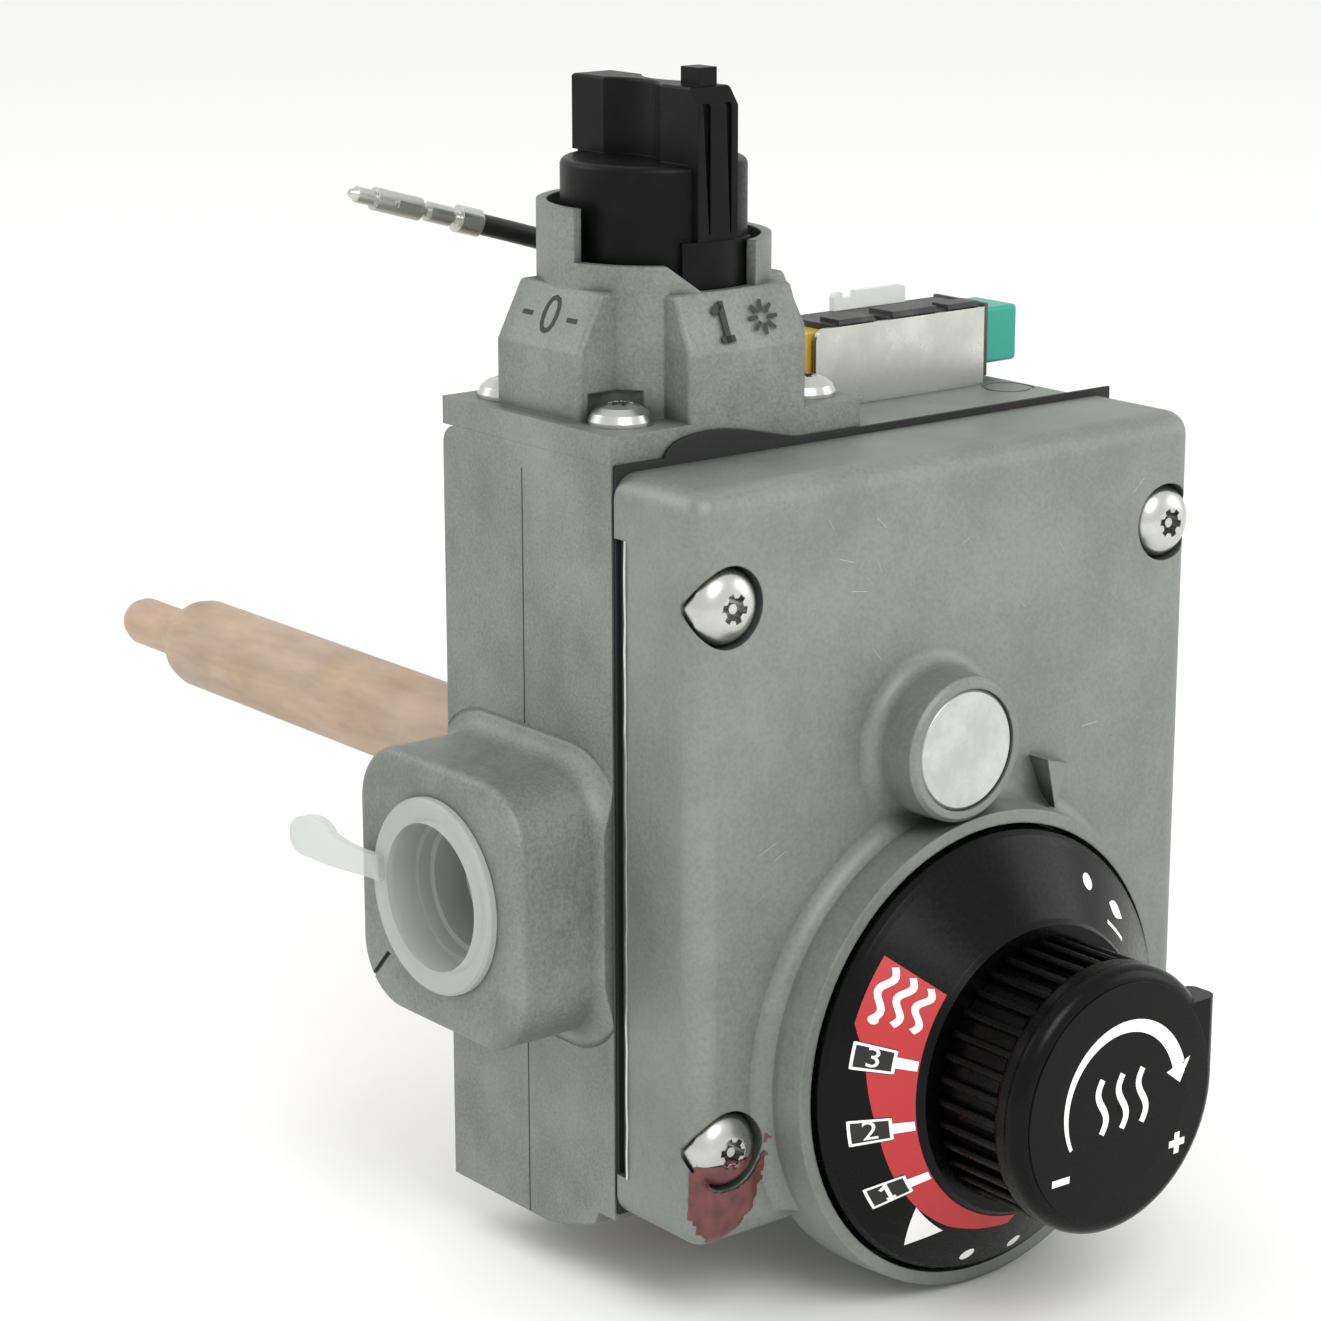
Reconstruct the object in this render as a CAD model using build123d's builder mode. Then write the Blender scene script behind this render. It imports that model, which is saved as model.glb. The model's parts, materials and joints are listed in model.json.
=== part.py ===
"""Combination gas control valve for a storage water heater: one file per piece, in mm, +Z up.

The origin is the centre of the tank shank on the casting's back face. +X is to the right, +Y runs
back along the probe into the tank, and -Y is the front with the temperature dial.
"""

import os
from math import cos, hypot, radians, sin, tan

from build123d import *

os.makedirs("parts", exist_ok=True)

# Casting
HALF_W = 41.2
BODY_Y0, BODY_Y1 = -34.2, 0.0
BODY_Z0, BODY_Z1 = -39.4, 60.9
TOP_RIGHT_R = 8.5

# Inlet boss, half inch pipe thread, on the left
INLET_X, INLET_Y, INLET_Z = -55.2, -17.1, 6.3
BOSS_W, BOSS_H, BOSS_R, BOSS_Z = 33.7, 34.0, 8.0, 5.9
INLET_R, INLET_DEPTH = 10.0, 15.0
COVE = 2.8

# Gas cock, its knob and the collar around it
KNOB_X, KNOB_Y = -21.15, -17.1
COCK_R = 8.0
PLATE_X0, PLATE_X1, PLATE_TOP = -41.2, -1.1, 64.4
COLLAR_R, COLLAR_BORE = 14.45, 13.15
COLLAR_TOP, COLLAR_TOP_RIGHT = 89.1, 84.9
KNOB_R, KNOB_TOP, GRIP_TOP = 11.5, 94.2, 103.5
COLLAR_SCREWS = [(-35.0, -28.0), (-5.7, -27.7), (-35.0, -5.5), (-5.7, -5.5)]
COLLAR_HEAD_R = 3.9
COCK_TOP = 56.0
PRESS = 4.0
STEM_LOW = COCK_TOP + PRESS + 0.2

# Front cover and the temperature dial on it
COVER_FRONT, COVER_BACK = -50.2, -34.7
COVER_Z0, COVER_Z1 = -34.0, 60.0
COVER_SCREWS = [(-36.2, 46.1), (36.2, 46.1), (-36.2, -21.5), (36.2, -21.5)]
DIAL_X, DIAL_Z = 0.3, -15.2
RING_R, RING_BORE, RING_LIP = 30.8, 29.1, -56.7
REG_X, REG_Z = -4.5, 24.7
RIBS, RIB_TIP, RIB_VALLEY = 36, 16.9, 15.7

# Cavity behind the cover
CAV_X0, CAV_X1, CAV_Z0, CAV_Z1, CAV_BACK = -9.0, 31.5, -28.0, 52.0, -10.0
VALVE_X, VALVE_Z = 16.0, 26.0

# Probe in the tank
TUBE_R, TUBE_END, TIP_R, TIP_END = 7.15, 129.3, 3.9, 148.8
SLEEVE_R, SLEEVE_END = 8.05, 161.3
SHANK_R, SHANK_LEN = 13.3, 26.0

# Igniter on top
IGN_X0, IGN_X1, IGN_Y0, IGN_Y1, IGN_Z1 = 0.1, 29.3, -23.2, -13.2, 71.2
# Inner end of the button's guide, and of the button at rest: the push plus a little
BUTTON_STOP, BUTTON_PUSH = 19.8, 5.0
BUTTON_IN = BUTTON_STOP + BUTTON_PUSH + 0.4

# Igniter lead
LEAD_D = 2.7
LEAD = [(0.8, -14.2, 66.9), (0.8, -7.2, 68.9), (-5.2, -1.2, 73.9), (-13.2, 2.8, 78.4),
        (-21.2, 4.3, 81.4), (-31.6, 5.3, 84.4)]


def seat_y(x, z):
    """Turning seat about a Y axis: sketch points are (radius, y)."""
    return Plane(origin=(x, 0, z), x_dir=(1, 0, 0), z_dir=(0, 0, 1)), Axis((x, 0, z), (0, 1, 0))


def seat_z(x, y):
    """Turning seat about a Z axis: sketch points are (radius, z)."""
    return Plane(origin=(x, y, 0), x_dir=(1, 0, 0), z_dir=(0, -1, 0)), Axis((x, y, 0), (0, 0, 1))


def seat_x(y, z):
    """Turning seat about an X axis: sketch points are (radius, x)."""
    return Plane(origin=(0, y, z), x_dir=(0, 1, 0), z_dir=(0, 0, -1)), Axis((0, y, z), (1, 0, 0))


def turn(seat, points, mode=Mode.ADD):
    """Turns a closed profile about the seat's axis."""
    plane, axis = seat
    with BuildSketch(plane) as profile:
        with BuildLine():
            Polyline(*points, close=True)
        make_face()
    revolve(profile.sketch, axis=axis, mode=mode)


def rod(seat, radius, low, high, mode=Mode.ADD):
    turn(seat, [(0, low), (radius, low), (radius, high), (0, high)], mode)


def ring(seat, inner, outer, low, high, mode=Mode.ADD):
    turn(seat, [(inner, low), (outer, low), (outer, high), (inner, high)], mode)


def block(x0, x1, y0, y1, z0, z1, mode=Mode.ADD):
    with Locations(((x0 + x1) / 2, (y0 + y1) / 2, (z0 + z1) / 2)):
        Box(x1 - x0, y1 - y0, z1 - z0, mode=mode)


def prism(plane, points, depth, mode=Mode.ADD):
    with BuildSketch(plane) as profile:
        with BuildLine():
            Polyline(*points, close=True)
        make_face()
    extrude(profile.sketch, amount=depth, mode=mode)


def coil(origin, direction, radius, wire, length, turns):
    """Open coil spring that starts at origin and runs along direction."""
    place = Plane(origin=origin, z_dir=direction)
    helix = Helix(pitch=length / turns, height=length, radius=radius, mode=Mode.PRIVATE)
    path = place.location * helix
    with BuildSketch(Plane(origin=path @ 0, z_dir=path % 0)) as section:
        Circle(wire)
    sweep(section.sketch, path=path)


def sector(start, end, low, high, mode):
    """Wedge about the knob axis between two angles in degrees."""
    far = 30
    steps = [start + (end - start) * i / 6 for i in range(7)]
    points = [(KNOB_X, KNOB_Y)]
    points += [(KNOB_X + far * cos(radians(a)), KNOB_Y + far * sin(radians(a))) for a in steps]
    prism(Plane.XY.offset(low), points, high - low, mode)


pieces = {}
knob_axis = seat_z(KNOB_X, KNOB_Y)
dial_axis = seat_y(DIAL_X, DIAL_Z)
reg_axis = seat_y(REG_X, REG_Z)
probe_axis = seat_y(0, 0)
inlet_axis = seat_x(INLET_Y, INLET_Z)
valve_axis = seat_y(VALVE_X, VALVE_Z)

# ---------------------------------------------------------------- casting
cove_x = -HALF_W - COVE
cove_outline = Plane.YZ.offset(cove_x) * Pos(INLET_Y + 0.15, BOSS_Z) * RectangleRounded(
    BOSS_W + 2 * COVE, BOSS_H + 2 * COVE, BOSS_R + COVE)
cove_loop = cove_outline.wires()[0]

with BuildPart() as inlet_boss:
    # Flare at its root
    with BuildSketch(Plane.YZ.offset(cove_x)):
        with Locations((INLET_Y + 0.15, BOSS_Z)):
            RectangleRounded(BOSS_W + 2 * COVE, BOSS_H + 2 * COVE, BOSS_R + COVE)
    extrude(amount=COVE)
    with BuildSketch(Plane(origin=cove_loop @ 0, z_dir=cove_loop % 0)):
        Circle(COVE)
    sweep(path=cove_loop, mode=Mode.SUBTRACT)
    block(-60, -HALF_W, BODY_Y0, BODY_Y1, BODY_Z0, BODY_Z1, Mode.INTERSECT)
    with BuildSketch(Plane.YZ.offset(INLET_X)):
        with Locations((INLET_Y + 0.15, BOSS_Z)):
            RectangleRounded(BOSS_W, BOSS_H, BOSS_R)
    extrude(amount=-INLET_X - HALF_W)
    fillet(inlet_boss.faces().sort_by(Axis.X)[0].edges(), 1.2)
    rod(inlet_axis, INLET_R, INLET_X - 1, -HALF_W + 1, Mode.SUBTRACT)
    # Cast groove beside the inlet
    prism(Plane.YZ.offset(INLET_X), [(-6.6, -4.1), (-2.8, -8.3), (-2.1, -8.9), (-2.0, -8.2), (-5.9, -3.9)],
          0.6, Mode.SUBTRACT)
pieces["inlet_boss"] = inlet_boss

with BuildPart() as valve_body:
    # Main block, its underside stepped up to the cover flange
    with BuildSketch(Plane.YZ.offset(-HALF_W)):
        with BuildLine():
            Polyline((BODY_Y1, BODY_Z0), (-20.7, BODY_Z0), (-25.2, -38.3), (-30.1, -36.6), (-30.9, -34.7),
                     (BODY_Y0, -34.7), (BODY_Y0, BODY_Z1), (BODY_Y1, BODY_Z1), close=True)
        make_face()
    extrude(amount=2 * HALF_W)
    top_right = valve_body.edges().filter_by(Axis.Y).sort_by_distance((HALF_W, -17, BODY_Z1))[0]
    fillet(top_right, TOP_RIGHT_R)
    back_edges = valve_body.edges().filter_by(Axis.Z).filter_by(lambda e: abs(e.center().Y) < 0.01)
    fillet(back_edges.sort_by(Axis.X)[-1], 2.5)
    # Faint die line down the left wall
    block(-HALF_W - 1, -HALF_W + 0.12, -16.6, -16.35, BODY_Z0 - 1, BODY_Z1 - 3, Mode.SUBTRACT)
    # Cock bore, safety chamber and seat between them
    rod(knob_axis, COCK_R, 24.0, BODY_Z1, Mode.SUBTRACT)
    rod(knob_axis, 5.0, 19.9, 24.1, Mode.SUBTRACT)
    rod(knob_axis, 9.0, BODY_Z0 - 1, 20.0, Mode.SUBTRACT)
    rod(seat_x(KNOB_Y, 36.0), 3.0, KNOB_X + 6, CAV_X0 + 1, Mode.SUBTRACT)
    # Inlet
    rod(inlet_axis, INLET_R, INLET_X - 1, INLET_X + INLET_DEPTH, Mode.SUBTRACT)
    rod(inlet_axis, 8.0, INLET_X + INLET_DEPTH - 0.1, KNOB_X, Mode.SUBTRACT)
    # Cavity behind the cover
    block(CAV_X0, CAV_X1, BODY_Y0, CAV_BACK, CAV_Z0, CAV_Z1, Mode.SUBTRACT)
    # Shank spigot hole in the back wall
    rod(probe_axis, 9.5, CAV_BACK - 1, BODY_Y1 + 1, Mode.SUBTRACT)
    # Burner outlet and pilot outlet underneath
    rod(seat_z(19.5, -12.5), 9.3, BODY_Z0 - 1, -29.4, Mode.SUBTRACT)
    rod(seat_z(19.5, -12.5), 6.0, -29.5, CAV_Z0 + 0.1, Mode.SUBTRACT)
    rod(seat_z(-3.0, -14.0), 3.6, BODY_Z0 - 1, -31.4, Mode.SUBTRACT)
    rod(seat_z(-3.0, -14.0), 1.6, -31.5, CAV_Z0 + 0.1, Mode.SUBTRACT)
    # Screw holes
    for x, z in COVER_SCREWS:
        rod(seat_y(x, z), 2.1, BODY_Y0 - 1, -21.0, Mode.SUBTRACT)
    for x, y in COLLAR_SCREWS:
        rod(seat_z(x, y), 1.7, 52.5, BODY_Z1 + 1, Mode.SUBTRACT)
    # Mounting holes of the igniter bracket
    for x in (4.5, 25.0):
        rod(seat_z(x, -18.2), 1.25, 54.0, BODY_Z1 + 1, Mode.SUBTRACT)
    # Round cast mark on the top
    ring(seat_z(30.3, -26.7), 2.9, 3.5, BODY_Z1 - 0.15, BODY_Z1 + 1, Mode.SUBTRACT)
pieces["valve_body"] = valve_body

# ---------------------------------------------------------------- collar on the casting
# Label bosses: soft-edged prisms whose faces slope back to the wall
FACET_LOW = 72.6


def soft_boss(solid):
    """Rounds the edges that stand clear of the collar's wall and the plate."""
    def stands_clear(edge):
        middle = edge.center()
        return middle.Z > PLATE_TOP and hypot(middle.X - KNOB_X, middle.Y - KNOB_Y) > 13
    return fillet(solid.edges().filter_by(stands_clear), 0.7)


off_face = [(KNOB_X - 18.0, PLATE_TOP - 1), (KNOB_X - 18.0, FACET_LOW), (KNOB_X - 14.3, 79.7),
            (KNOB_X - 10, 79.7), (KNOB_X - 10, PLATE_TOP - 1)]
on_face = [(2 * KNOB_X - x, z) for x, z in off_face]
pilot_face = [(BODY_Y0, PLATE_TOP - 1), (BODY_Y0, FACET_LOW), (KNOB_Y - 14.1, 79.5),
              (KNOB_Y - 10, 79.5), (KNOB_Y - 10, PLATE_TOP - 1)]
side_plane = Plane.XZ.offset(-(KNOB_Y + 8.5))
off_boss = soft_boss(extrude(side_plane * make_face(Polyline(*off_face, close=True)), amount=16.5))
on_boss = soft_boss(extrude(side_plane * make_face(Polyline(*on_face, close=True)), amount=16.5))
pilot_boss = soft_boss(extrude(Plane.YZ.offset(KNOB_X - 8.0) * make_face(Polyline(*pilot_face, close=True)),
                               amount=18.25))

with BuildPart() as knob_collar:
    rod(knob_axis, COLLAR_R, PLATE_TOP - 1, COLLAR_TOP)
    sector(-70, 62, COLLAR_TOP_RIGHT, COLLAR_TOP + 1, Mode.SUBTRACT)
    # Notch that shows the knob's pointer
    sector(-170, -122, 82.7, COLLAR_TOP + 1, Mode.SUBTRACT)
    sector(-105, -70, 79.5, COLLAR_TOP + 1, Mode.SUBTRACT)
    slope = Plane(origin=(KNOB_X, KNOB_Y, 0), x_dir=(cos(radians(-23.5)), sin(radians(-23.5)), 0),
                  z_dir=(cos(radians(-113.5)), sin(radians(-113.5)), 0))
    prism(slope.offset(9), [(-2.15, 82.7), (2.15, 79.5), (2.15, 95), (-2.15, 95)], 12, Mode.SUBTRACT)
    # Three label bosses with sloped faces
    add(off_boss)
    add(on_boss)
    add(pilot_boss)
    # Spot face for each screw head
    for x, y in COLLAR_SCREWS:
        rod(seat_z(x, y), COLLAR_HEAD_R + 0.05, PLATE_TOP - 1, PLATE_TOP + 3.4, Mode.SUBTRACT)
    rod(knob_axis, COLLAR_BORE, PLATE_TOP - 1, COLLAR_TOP + 1, Mode.SUBTRACT)
    block(PLATE_X0, PLATE_X1, BODY_Y0, BODY_Y1, BODY_Z1, PLATE_TOP)
    corners = knob_collar.edges().filter_by(Axis.Z).filter_by(
        lambda e: abs(e.center().X - PLATE_X1) < 0.01 and e.center().Z < PLATE_TOP)
    fillet(corners, 2.0)
    rod(knob_axis, COCK_R, BODY_Z1 - 1, PLATE_TOP + 1, Mode.SUBTRACT)
    for x, y in COLLAR_SCREWS:
        rod(seat_z(x, y), 1.9, BODY_Z1 - 1, PLATE_TOP + 1, Mode.SUBTRACT)
pieces["knob_collar"] = knob_collar

with BuildPart() as collar_screws:
    for x, y in COLLAR_SCREWS:
        seat = seat_z(x, y)
        turn(seat, [(0, 54), (1.65, 54), (1.65, PLATE_TOP), (COLLAR_HEAD_R, PLATE_TOP),
                    (COLLAR_HEAD_R, PLATE_TOP + 0.5), (3.5, PLATE_TOP + 1.4), (2.6, PLATE_TOP + 2.1),
                    (1.3, PLATE_TOP + 2.5), (0, PLATE_TOP + 2.6)])
        for k in range(3):
            with Locations(Location((x, y, PLATE_TOP + 2.0), (0, 0, 15 + 60 * k))):
                Box(3.0, 0.8, 2.4, mode=Mode.SUBTRACT)
        rod(seat, 1.05, PLATE_TOP + 0.8, PLATE_TOP + 3, Mode.SUBTRACT)
pieces["collar_screws"] = collar_screws

# ---------------------------------------------------------------- gas cock and safety valve
with BuildPart() as gas_cock:
    rod(knob_axis, COCK_R - 0.05, 28.0, COCK_TOP)
    ring(knob_axis, 6.0, COCK_R, 50.2, 52.2, Mode.SUBTRACT)
    block(KNOB_X - 9, KNOB_X + 9, KNOB_Y - 2.1, KNOB_Y + 2.1, 43.8, 57, Mode.SUBTRACT)
    rod(knob_axis, 1.6, 27, 44, Mode.SUBTRACT)
    rod(knob_axis, 4.0, 27, 38.5, Mode.SUBTRACT)
    rod(seat_x(KNOB_Y, 36.0), 2.4, KNOB_X, KNOB_X + 9, Mode.SUBTRACT)
pieces["gas_cock"] = gas_cock

with BuildPart() as cock_seal:
    ring(knob_axis, 6.02, COCK_R - 0.05, 50.3, 52.1)
    block(KNOB_X - 9, KNOB_X + 9, KNOB_Y - 2.1, KNOB_Y + 2.1, 50, 53, Mode.SUBTRACT)
pieces["cock_seal"] = cock_seal

with BuildPart() as knob_stem:
    # The round part starts above the cock by more than the press, so only the tongue goes in
    rod(knob_axis, 4.0, STEM_LOW, 88.0)
    block(KNOB_X - 5.6, KNOB_X + 5.6, KNOB_Y - 1.95, KNOB_Y + 1.95, 49.5, STEM_LOW + 0.5)
    rod(knob_axis, 7.0, 68.4, 70.0)
    block(KNOB_X - 9, KNOB_X + 9, KNOB_Y + 2.6, KNOB_Y + 9, 74.0, 90, Mode.SUBTRACT)
pieces["knob_stem"] = knob_stem

with BuildPart() as push_pin:
    rod(knob_axis, 1.5, 20.3, 49.5)
    rod(knob_axis, 3.4, 24.4, 25.4)
pieces["push_pin"] = push_pin

with BuildPart() as knob_spring:
    coil((KNOB_X, KNOB_Y, 56.6), (0, 0, 1), 6.4, 0.5, 11.2, 4)
pieces["knob_spring"] = knob_spring

with BuildPart() as safety_valve:
    turn(knob_axis, [(0, 17.2), (6.6, 17.2), (6.6, 18.2), (5.2, 19.8), (0, 19.8)])
    rod(knob_axis, 1.2, -9.0, 17.3)
    rod(knob_axis, 5.4, -10.6, -9.0)
pieces["safety_valve"] = safety_valve

with BuildPart() as safety_valve_rubber:
    turn(knob_axis, [(5.3, 19.75), (6.65, 18.25), (8.2, 18.25), (8.2, 19.9), (5.3, 19.9)])
pieces["safety_valve_rubber"] = safety_valve_rubber

with BuildPart() as safety_spring:
    coil((KNOB_X, KNOB_Y, 4.4), (0, 0, 1), 3.4, 0.35, 12.4, 5)
pieces["safety_spring"] = safety_spring

with BuildPart() as magnet_housing:
    rod(knob_axis, 8.9, -37.9, -24.0)
    rod(knob_axis, 7.5, -24.1, 4.0)
    rod(knob_axis, 6.7, -22.0, 2.6, Mode.SUBTRACT)
    rod(knob_axis, 1.4, 2.5, 5.0, Mode.SUBTRACT)
    rod(knob_axis, 4.6, -38.5, -29.0, Mode.SUBTRACT)
    rod(knob_axis, 1.6, -29.1, -21.9, Mode.SUBTRACT)
pieces["magnet_housing"] = magnet_housing

with BuildPart() as magnet_core:
    for side in (-1, 1):
        block(KNOB_X + side * 3.4 - 1.4, KNOB_X + side * 3.4 + 1.4, KNOB_Y - 2, KNOB_Y + 2, -20.0, -14.9)
    block(KNOB_X - 4.8, KNOB_X + 4.8, KNOB_Y - 2, KNOB_Y + 2, -22.0, -19.9)
    rod(knob_axis, 1.5, -28.6, -21.0)
pieces["magnet_core"] = magnet_core

# ---------------------------------------------------------------- control knob
KX, KY = KNOB_X, KNOB_Y
with BuildPart() as control_knob:
    rod(knob_axis, KNOB_R, 70.5, KNOB_TOP)
    fillet(control_knob.edges().filter_by(GeomType.CIRCLE).sort_by(Axis.Z)[-1], 0.9)
    # Wide foot under the pointer
    with BuildSketch(Plane.XY.offset(70.5)):
        with BuildLine():
            arc = [(KX + 12.8 * cos(radians(a)), KY + 12.8 * sin(radians(a))) for a in (-113, -87.5, -62)]
            ThreePointArc(*arc)
            Polyline(arc[2], (KX, KY), arc[0])
        make_face()
    extrude(amount=85.2 - 70.5)
    # Grip bar with a waisted middle
    with BuildSketch(Plane.XY.offset(KNOB_TOP - 4)):
        with BuildLine():
            Polyline((KX - 3.07, KY + 6.0), (KX - 3.07, KY + 12.4), (KX + 3.07, KY + 12.4),
                     (KX + 3.07, KY + 6.0))
            ThreePointArc((KX + 3.07, KY + 6.0), (KX + 0.95, KY + 0.4), (KX + 3.07, KY - 5.2))
            Polyline((KX + 3.07, KY - 5.2), (KX + 3.07, KY - 12.4), (KX - 3.07, KY - 12.4),
                     (KX - 3.07, KY - 5.2))
            ThreePointArc((KX - 3.07, KY - 5.2), (KX - 0.95, KY + 0.4), (KX - 3.07, KY + 6.0))
        make_face()
    extrude(amount=GRIP_TOP - KNOB_TOP + 4)
    # Overhang behind the cylinder goes only down to its top
    block(KX - 4, KX + 4, KY + 11.3, KY + 13, 80, KNOB_TOP, Mode.SUBTRACT)
    # Pointer rib down the front
    block(KX - 3.07, KX + 3.07, KY - 12.4, KY - 9, 85.0, GRIP_TOP)
    # Top of the pointer slopes down to its end
    prism(Plane.YZ.offset(KX - 5), [(KY - 10.6, GRIP_TOP + 0.1), (KY - 12.6, 101.0), (KY - 13.5, 101.0),
                                    (KY - 13.5, GRIP_TOP + 3), (KY - 10.6, GRIP_TOP + 3)], 10, Mode.SUBTRACT)
    top_rim = control_knob.edges().filter_by(lambda e: abs(e.center().Z - GRIP_TOP) < 0.01)
    fillet(top_rim, 0.45)
    block(KX - 1.4, KX + 1.4, KY - 10.4, KY - 7.0, GRIP_TOP - 1, 105.7)
    # Grooves on the pointer's face
    for left, right in ((-2.35, -1.15), (1.2, 2.1)):
        prism(Plane.XZ.offset(-(KY - 11.75)), [(KX + left, 101.6), (KX + right, 101.6), (KX + right, 86.0),
                                              (KX + right - 0.25, 86.0)], 2, Mode.SUBTRACT)
    # Hollow underneath with a hub for the stem
    ring(knob_axis, 6.2, 9.9, 70, 91.5, Mode.SUBTRACT)
    rod(knob_axis, 7.4, 70, 71.0, Mode.SUBTRACT)
    rod(knob_axis, 4.02, 70, 88.1, Mode.SUBTRACT)
    block(KX - 4.1, KX + 4.1, KY + 2.62, KY + 4.2, 74.5, 88.2)
pieces["control_knob"] = control_knob

# ---------------------------------------------------------------- front cover, its gasket and screws
# Index pointer: a wedge that slopes down to the cover on its right
index_outline = Plane.XZ.offset(49.5) * make_face(Polyline((12.8, 19.4), (19.8, 17.0), (15.6, 12.3), close=True))
index_slope = Plane(origin=(12.6, -53.7, 15.8), x_dir=(7.2, 3.5, 0), z_dir=(0, 0, 1))
index_pointer = extrude(index_outline, amount=4.2) - index_slope * Pos(3, -4, 0) * Box(18, 8, 20)

with BuildPart() as front_cover:
    block(-HALF_W, HALF_W, COVER_FRONT, COVER_BACK, COVER_Z0, COVER_Z1)
    soft = front_cover.edges().filter_by(Axis.Y) + front_cover.faces().sort_by(Axis.Y)[0].edges()
    fillet(soft, 3.1)
    # Dial ring with a drafted wall; below the cover it stands free as a cup
    turn(dial_axis, [(0, -47.2), (30.2, -47.2), (31.1, -48.6), (31.1, -53.0), (RING_R, RING_LIP),
                     (0, RING_LIP)])
    # Concave fillet where the ring meets the cover, kept within the cover's outline
    with BuildSketch(dial_axis[0]) as ring_root:
        with BuildLine():
            Polyline((31.0, -52.4), (30.0, -52.4), (30.0, -49.8), (33.2, -49.8), (33.2, -50.2))
            ThreePointArc((33.2, -50.2), (31.75, -50.9), (31.0, -52.4))
        make_face()
    ring_fillet = revolve(ring_root.sketch, axis=dial_axis[1], mode=Mode.PRIVATE)
    add(ring_fillet & Pos(0, -50, 13) * Box(2 * HALF_W - 5, 10, COVER_Z1 - COVER_Z0 - 5))
    # Round boss for the regulator, tangent to the ring
    with BuildSketch(reg_axis[0]) as reg_boss:
        with BuildLine():
            Polyline((9.35, -52.2), (9.1, -56.7), (8.6, -57.2), (0, -57.2), (0, -48), (11.4, -48), (11.4, -50.2))
            ThreePointArc((11.4, -50.2), (10.0, -50.8), (9.35, -52.2))
        make_face()
    revolve(reg_boss.sketch, axis=reg_axis[1])
    add(index_pointer)
    # Inside: hollow shell, column at each screw, hub for the dial shaft, bosses for the regulator
    block(-HALF_W + 2.8, HALF_W - 2.8, -47.4, COVER_BACK + 1, COVER_Z0 + 2.8, COVER_Z1 - 2.8, Mode.SUBTRACT)
    for x, z in COVER_SCREWS:
        rod(seat_y(x, z), 4.4, -48, COVER_BACK)
    block(-HALF_W, HALF_W, -60, COVER_BACK, COVER_Z0 - 20, COVER_Z1, Mode.INTERSECT)
    rod(dial_axis, 8.0, -48, -39.0)
    ring(reg_axis, 12.0, 15.0, -48, -38.0)
    # Dial recess and shaft bore
    rod(dial_axis, RING_BORE, -60, -52.2, Mode.SUBTRACT)
    rod(dial_axis, 4.05, -60, -38, Mode.SUBTRACT)
    # Regulator bore and the seat of its disc
    rod(reg_axis, 7.65, -58, -56.2, Mode.SUBTRACT)
    rod(reg_axis, 6.2, -57, -46, Mode.SUBTRACT)
    # Vent slot along the left side
    block(-HALF_W - 1, -HALF_W + 1.1, -36.8, COVER_BACK + 1, -28.3, 52.4, Mode.SUBTRACT)
    # Counterbored screw holes
    for x, z in COVER_SCREWS:
        rod(seat_y(x, z), 5.0, -60, -47.2, Mode.SUBTRACT)
        rod(seat_y(x, z), 2.5, -60, COVER_BACK + 1, Mode.SUBTRACT)
pieces["front_cover"] = front_cover

with BuildPart() as cover_gasket:
    block(-HALF_W + 0.3, HALF_W - 0.1, COVER_BACK, BODY_Y0, COVER_Z0 + 0.2, COVER_Z1 + 0.9)
    block(CAV_X0, CAV_X1, COVER_BACK - 1, BODY_Y0 + 1, CAV_Z0, CAV_Z1, Mode.SUBTRACT)
    for x, z in COVER_SCREWS:
        rod(seat_y(x, z), 2.4, -36, -33, Mode.SUBTRACT)
    with BuildSketch(Plane.XZ.offset(-BODY_Y0 + 0.06)):
        with BuildLine():
            Spline((-33.7, 60.6), (-32.6, 62.2), (-29.2, 63.3), (-24.5, 63.4), (-18.0, 62.2), (-8.0, 60.6))
            Line((-8.0, 60.6), (-33.7, 60.6))
        make_face()
    extrude(amount=0.44)
pieces["cover_gasket"] = cover_gasket

with BuildPart() as cover_screws:
    for x, z in COVER_SCREWS:
        seat = seat_y(x, z)
        with BuildSketch(seat[0]) as head:
            with BuildLine():
                Polyline((0, -51.1), (0, -22.5), (2.0, -22.5), (2.0, -47.2), (4.65, -47.2), (4.65, -48.9))
                ThreePointArc((4.65, -48.9), (3.6, -50.4), (1.9, -51.1))
                Line((1.9, -51.1), (0, -51.1))
            make_face()
        revolve(head.sketch, axis=seat[1])
        # Six-lobe socket with a centre pin
        for k in range(3):
            with Locations(Location((x, -50.4, z), (0, 10 + 60 * k, 0))):
                Box(3.7, 3.0, 0.85, mode=Mode.SUBTRACT)
        ring(seat, 0.62, 1.35, -52.5, -48.9, Mode.SUBTRACT)
        rod(seat, 0.63, -50.7, -48.0)
pieces["cover_screws"] = cover_screws

# ---------------------------------------------------------------- regulator in the cover
with BuildPart() as regulator_disc:
    turn(reg_axis, [(0, -56.2), (7.6, -56.2), (7.6, -56.6), (7.2, -57.0), (0, -57.0)])
pieces["regulator_disc"] = regulator_disc

with BuildPart() as regulator_adjuster:
    rod(reg_axis, 6.15, -55.2, -51.0)
    block(REG_X - 4, REG_X + 4, -56, -54.2, REG_Z - 0.6, REG_Z + 0.6, Mode.SUBTRACT)
pieces["regulator_adjuster"] = regulator_adjuster

with BuildPart() as regulator_spring:
    coil((REG_X, -50.5, REG_Z), (0, 1, 0), 4.6, 0.45, 9.6, 5)
pieces["regulator_spring"] = regulator_spring

with BuildPart() as regulator_diaphragm:
    rod(reg_axis, 15.0, -38.0, -37.2)
    ring(reg_axis, 7.5, 9.5, -38.8, -36.4)
    rod(reg_axis, 2.0, -39, -36, Mode.SUBTRACT)
pieces["regulator_diaphragm"] = regulator_diaphragm

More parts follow.
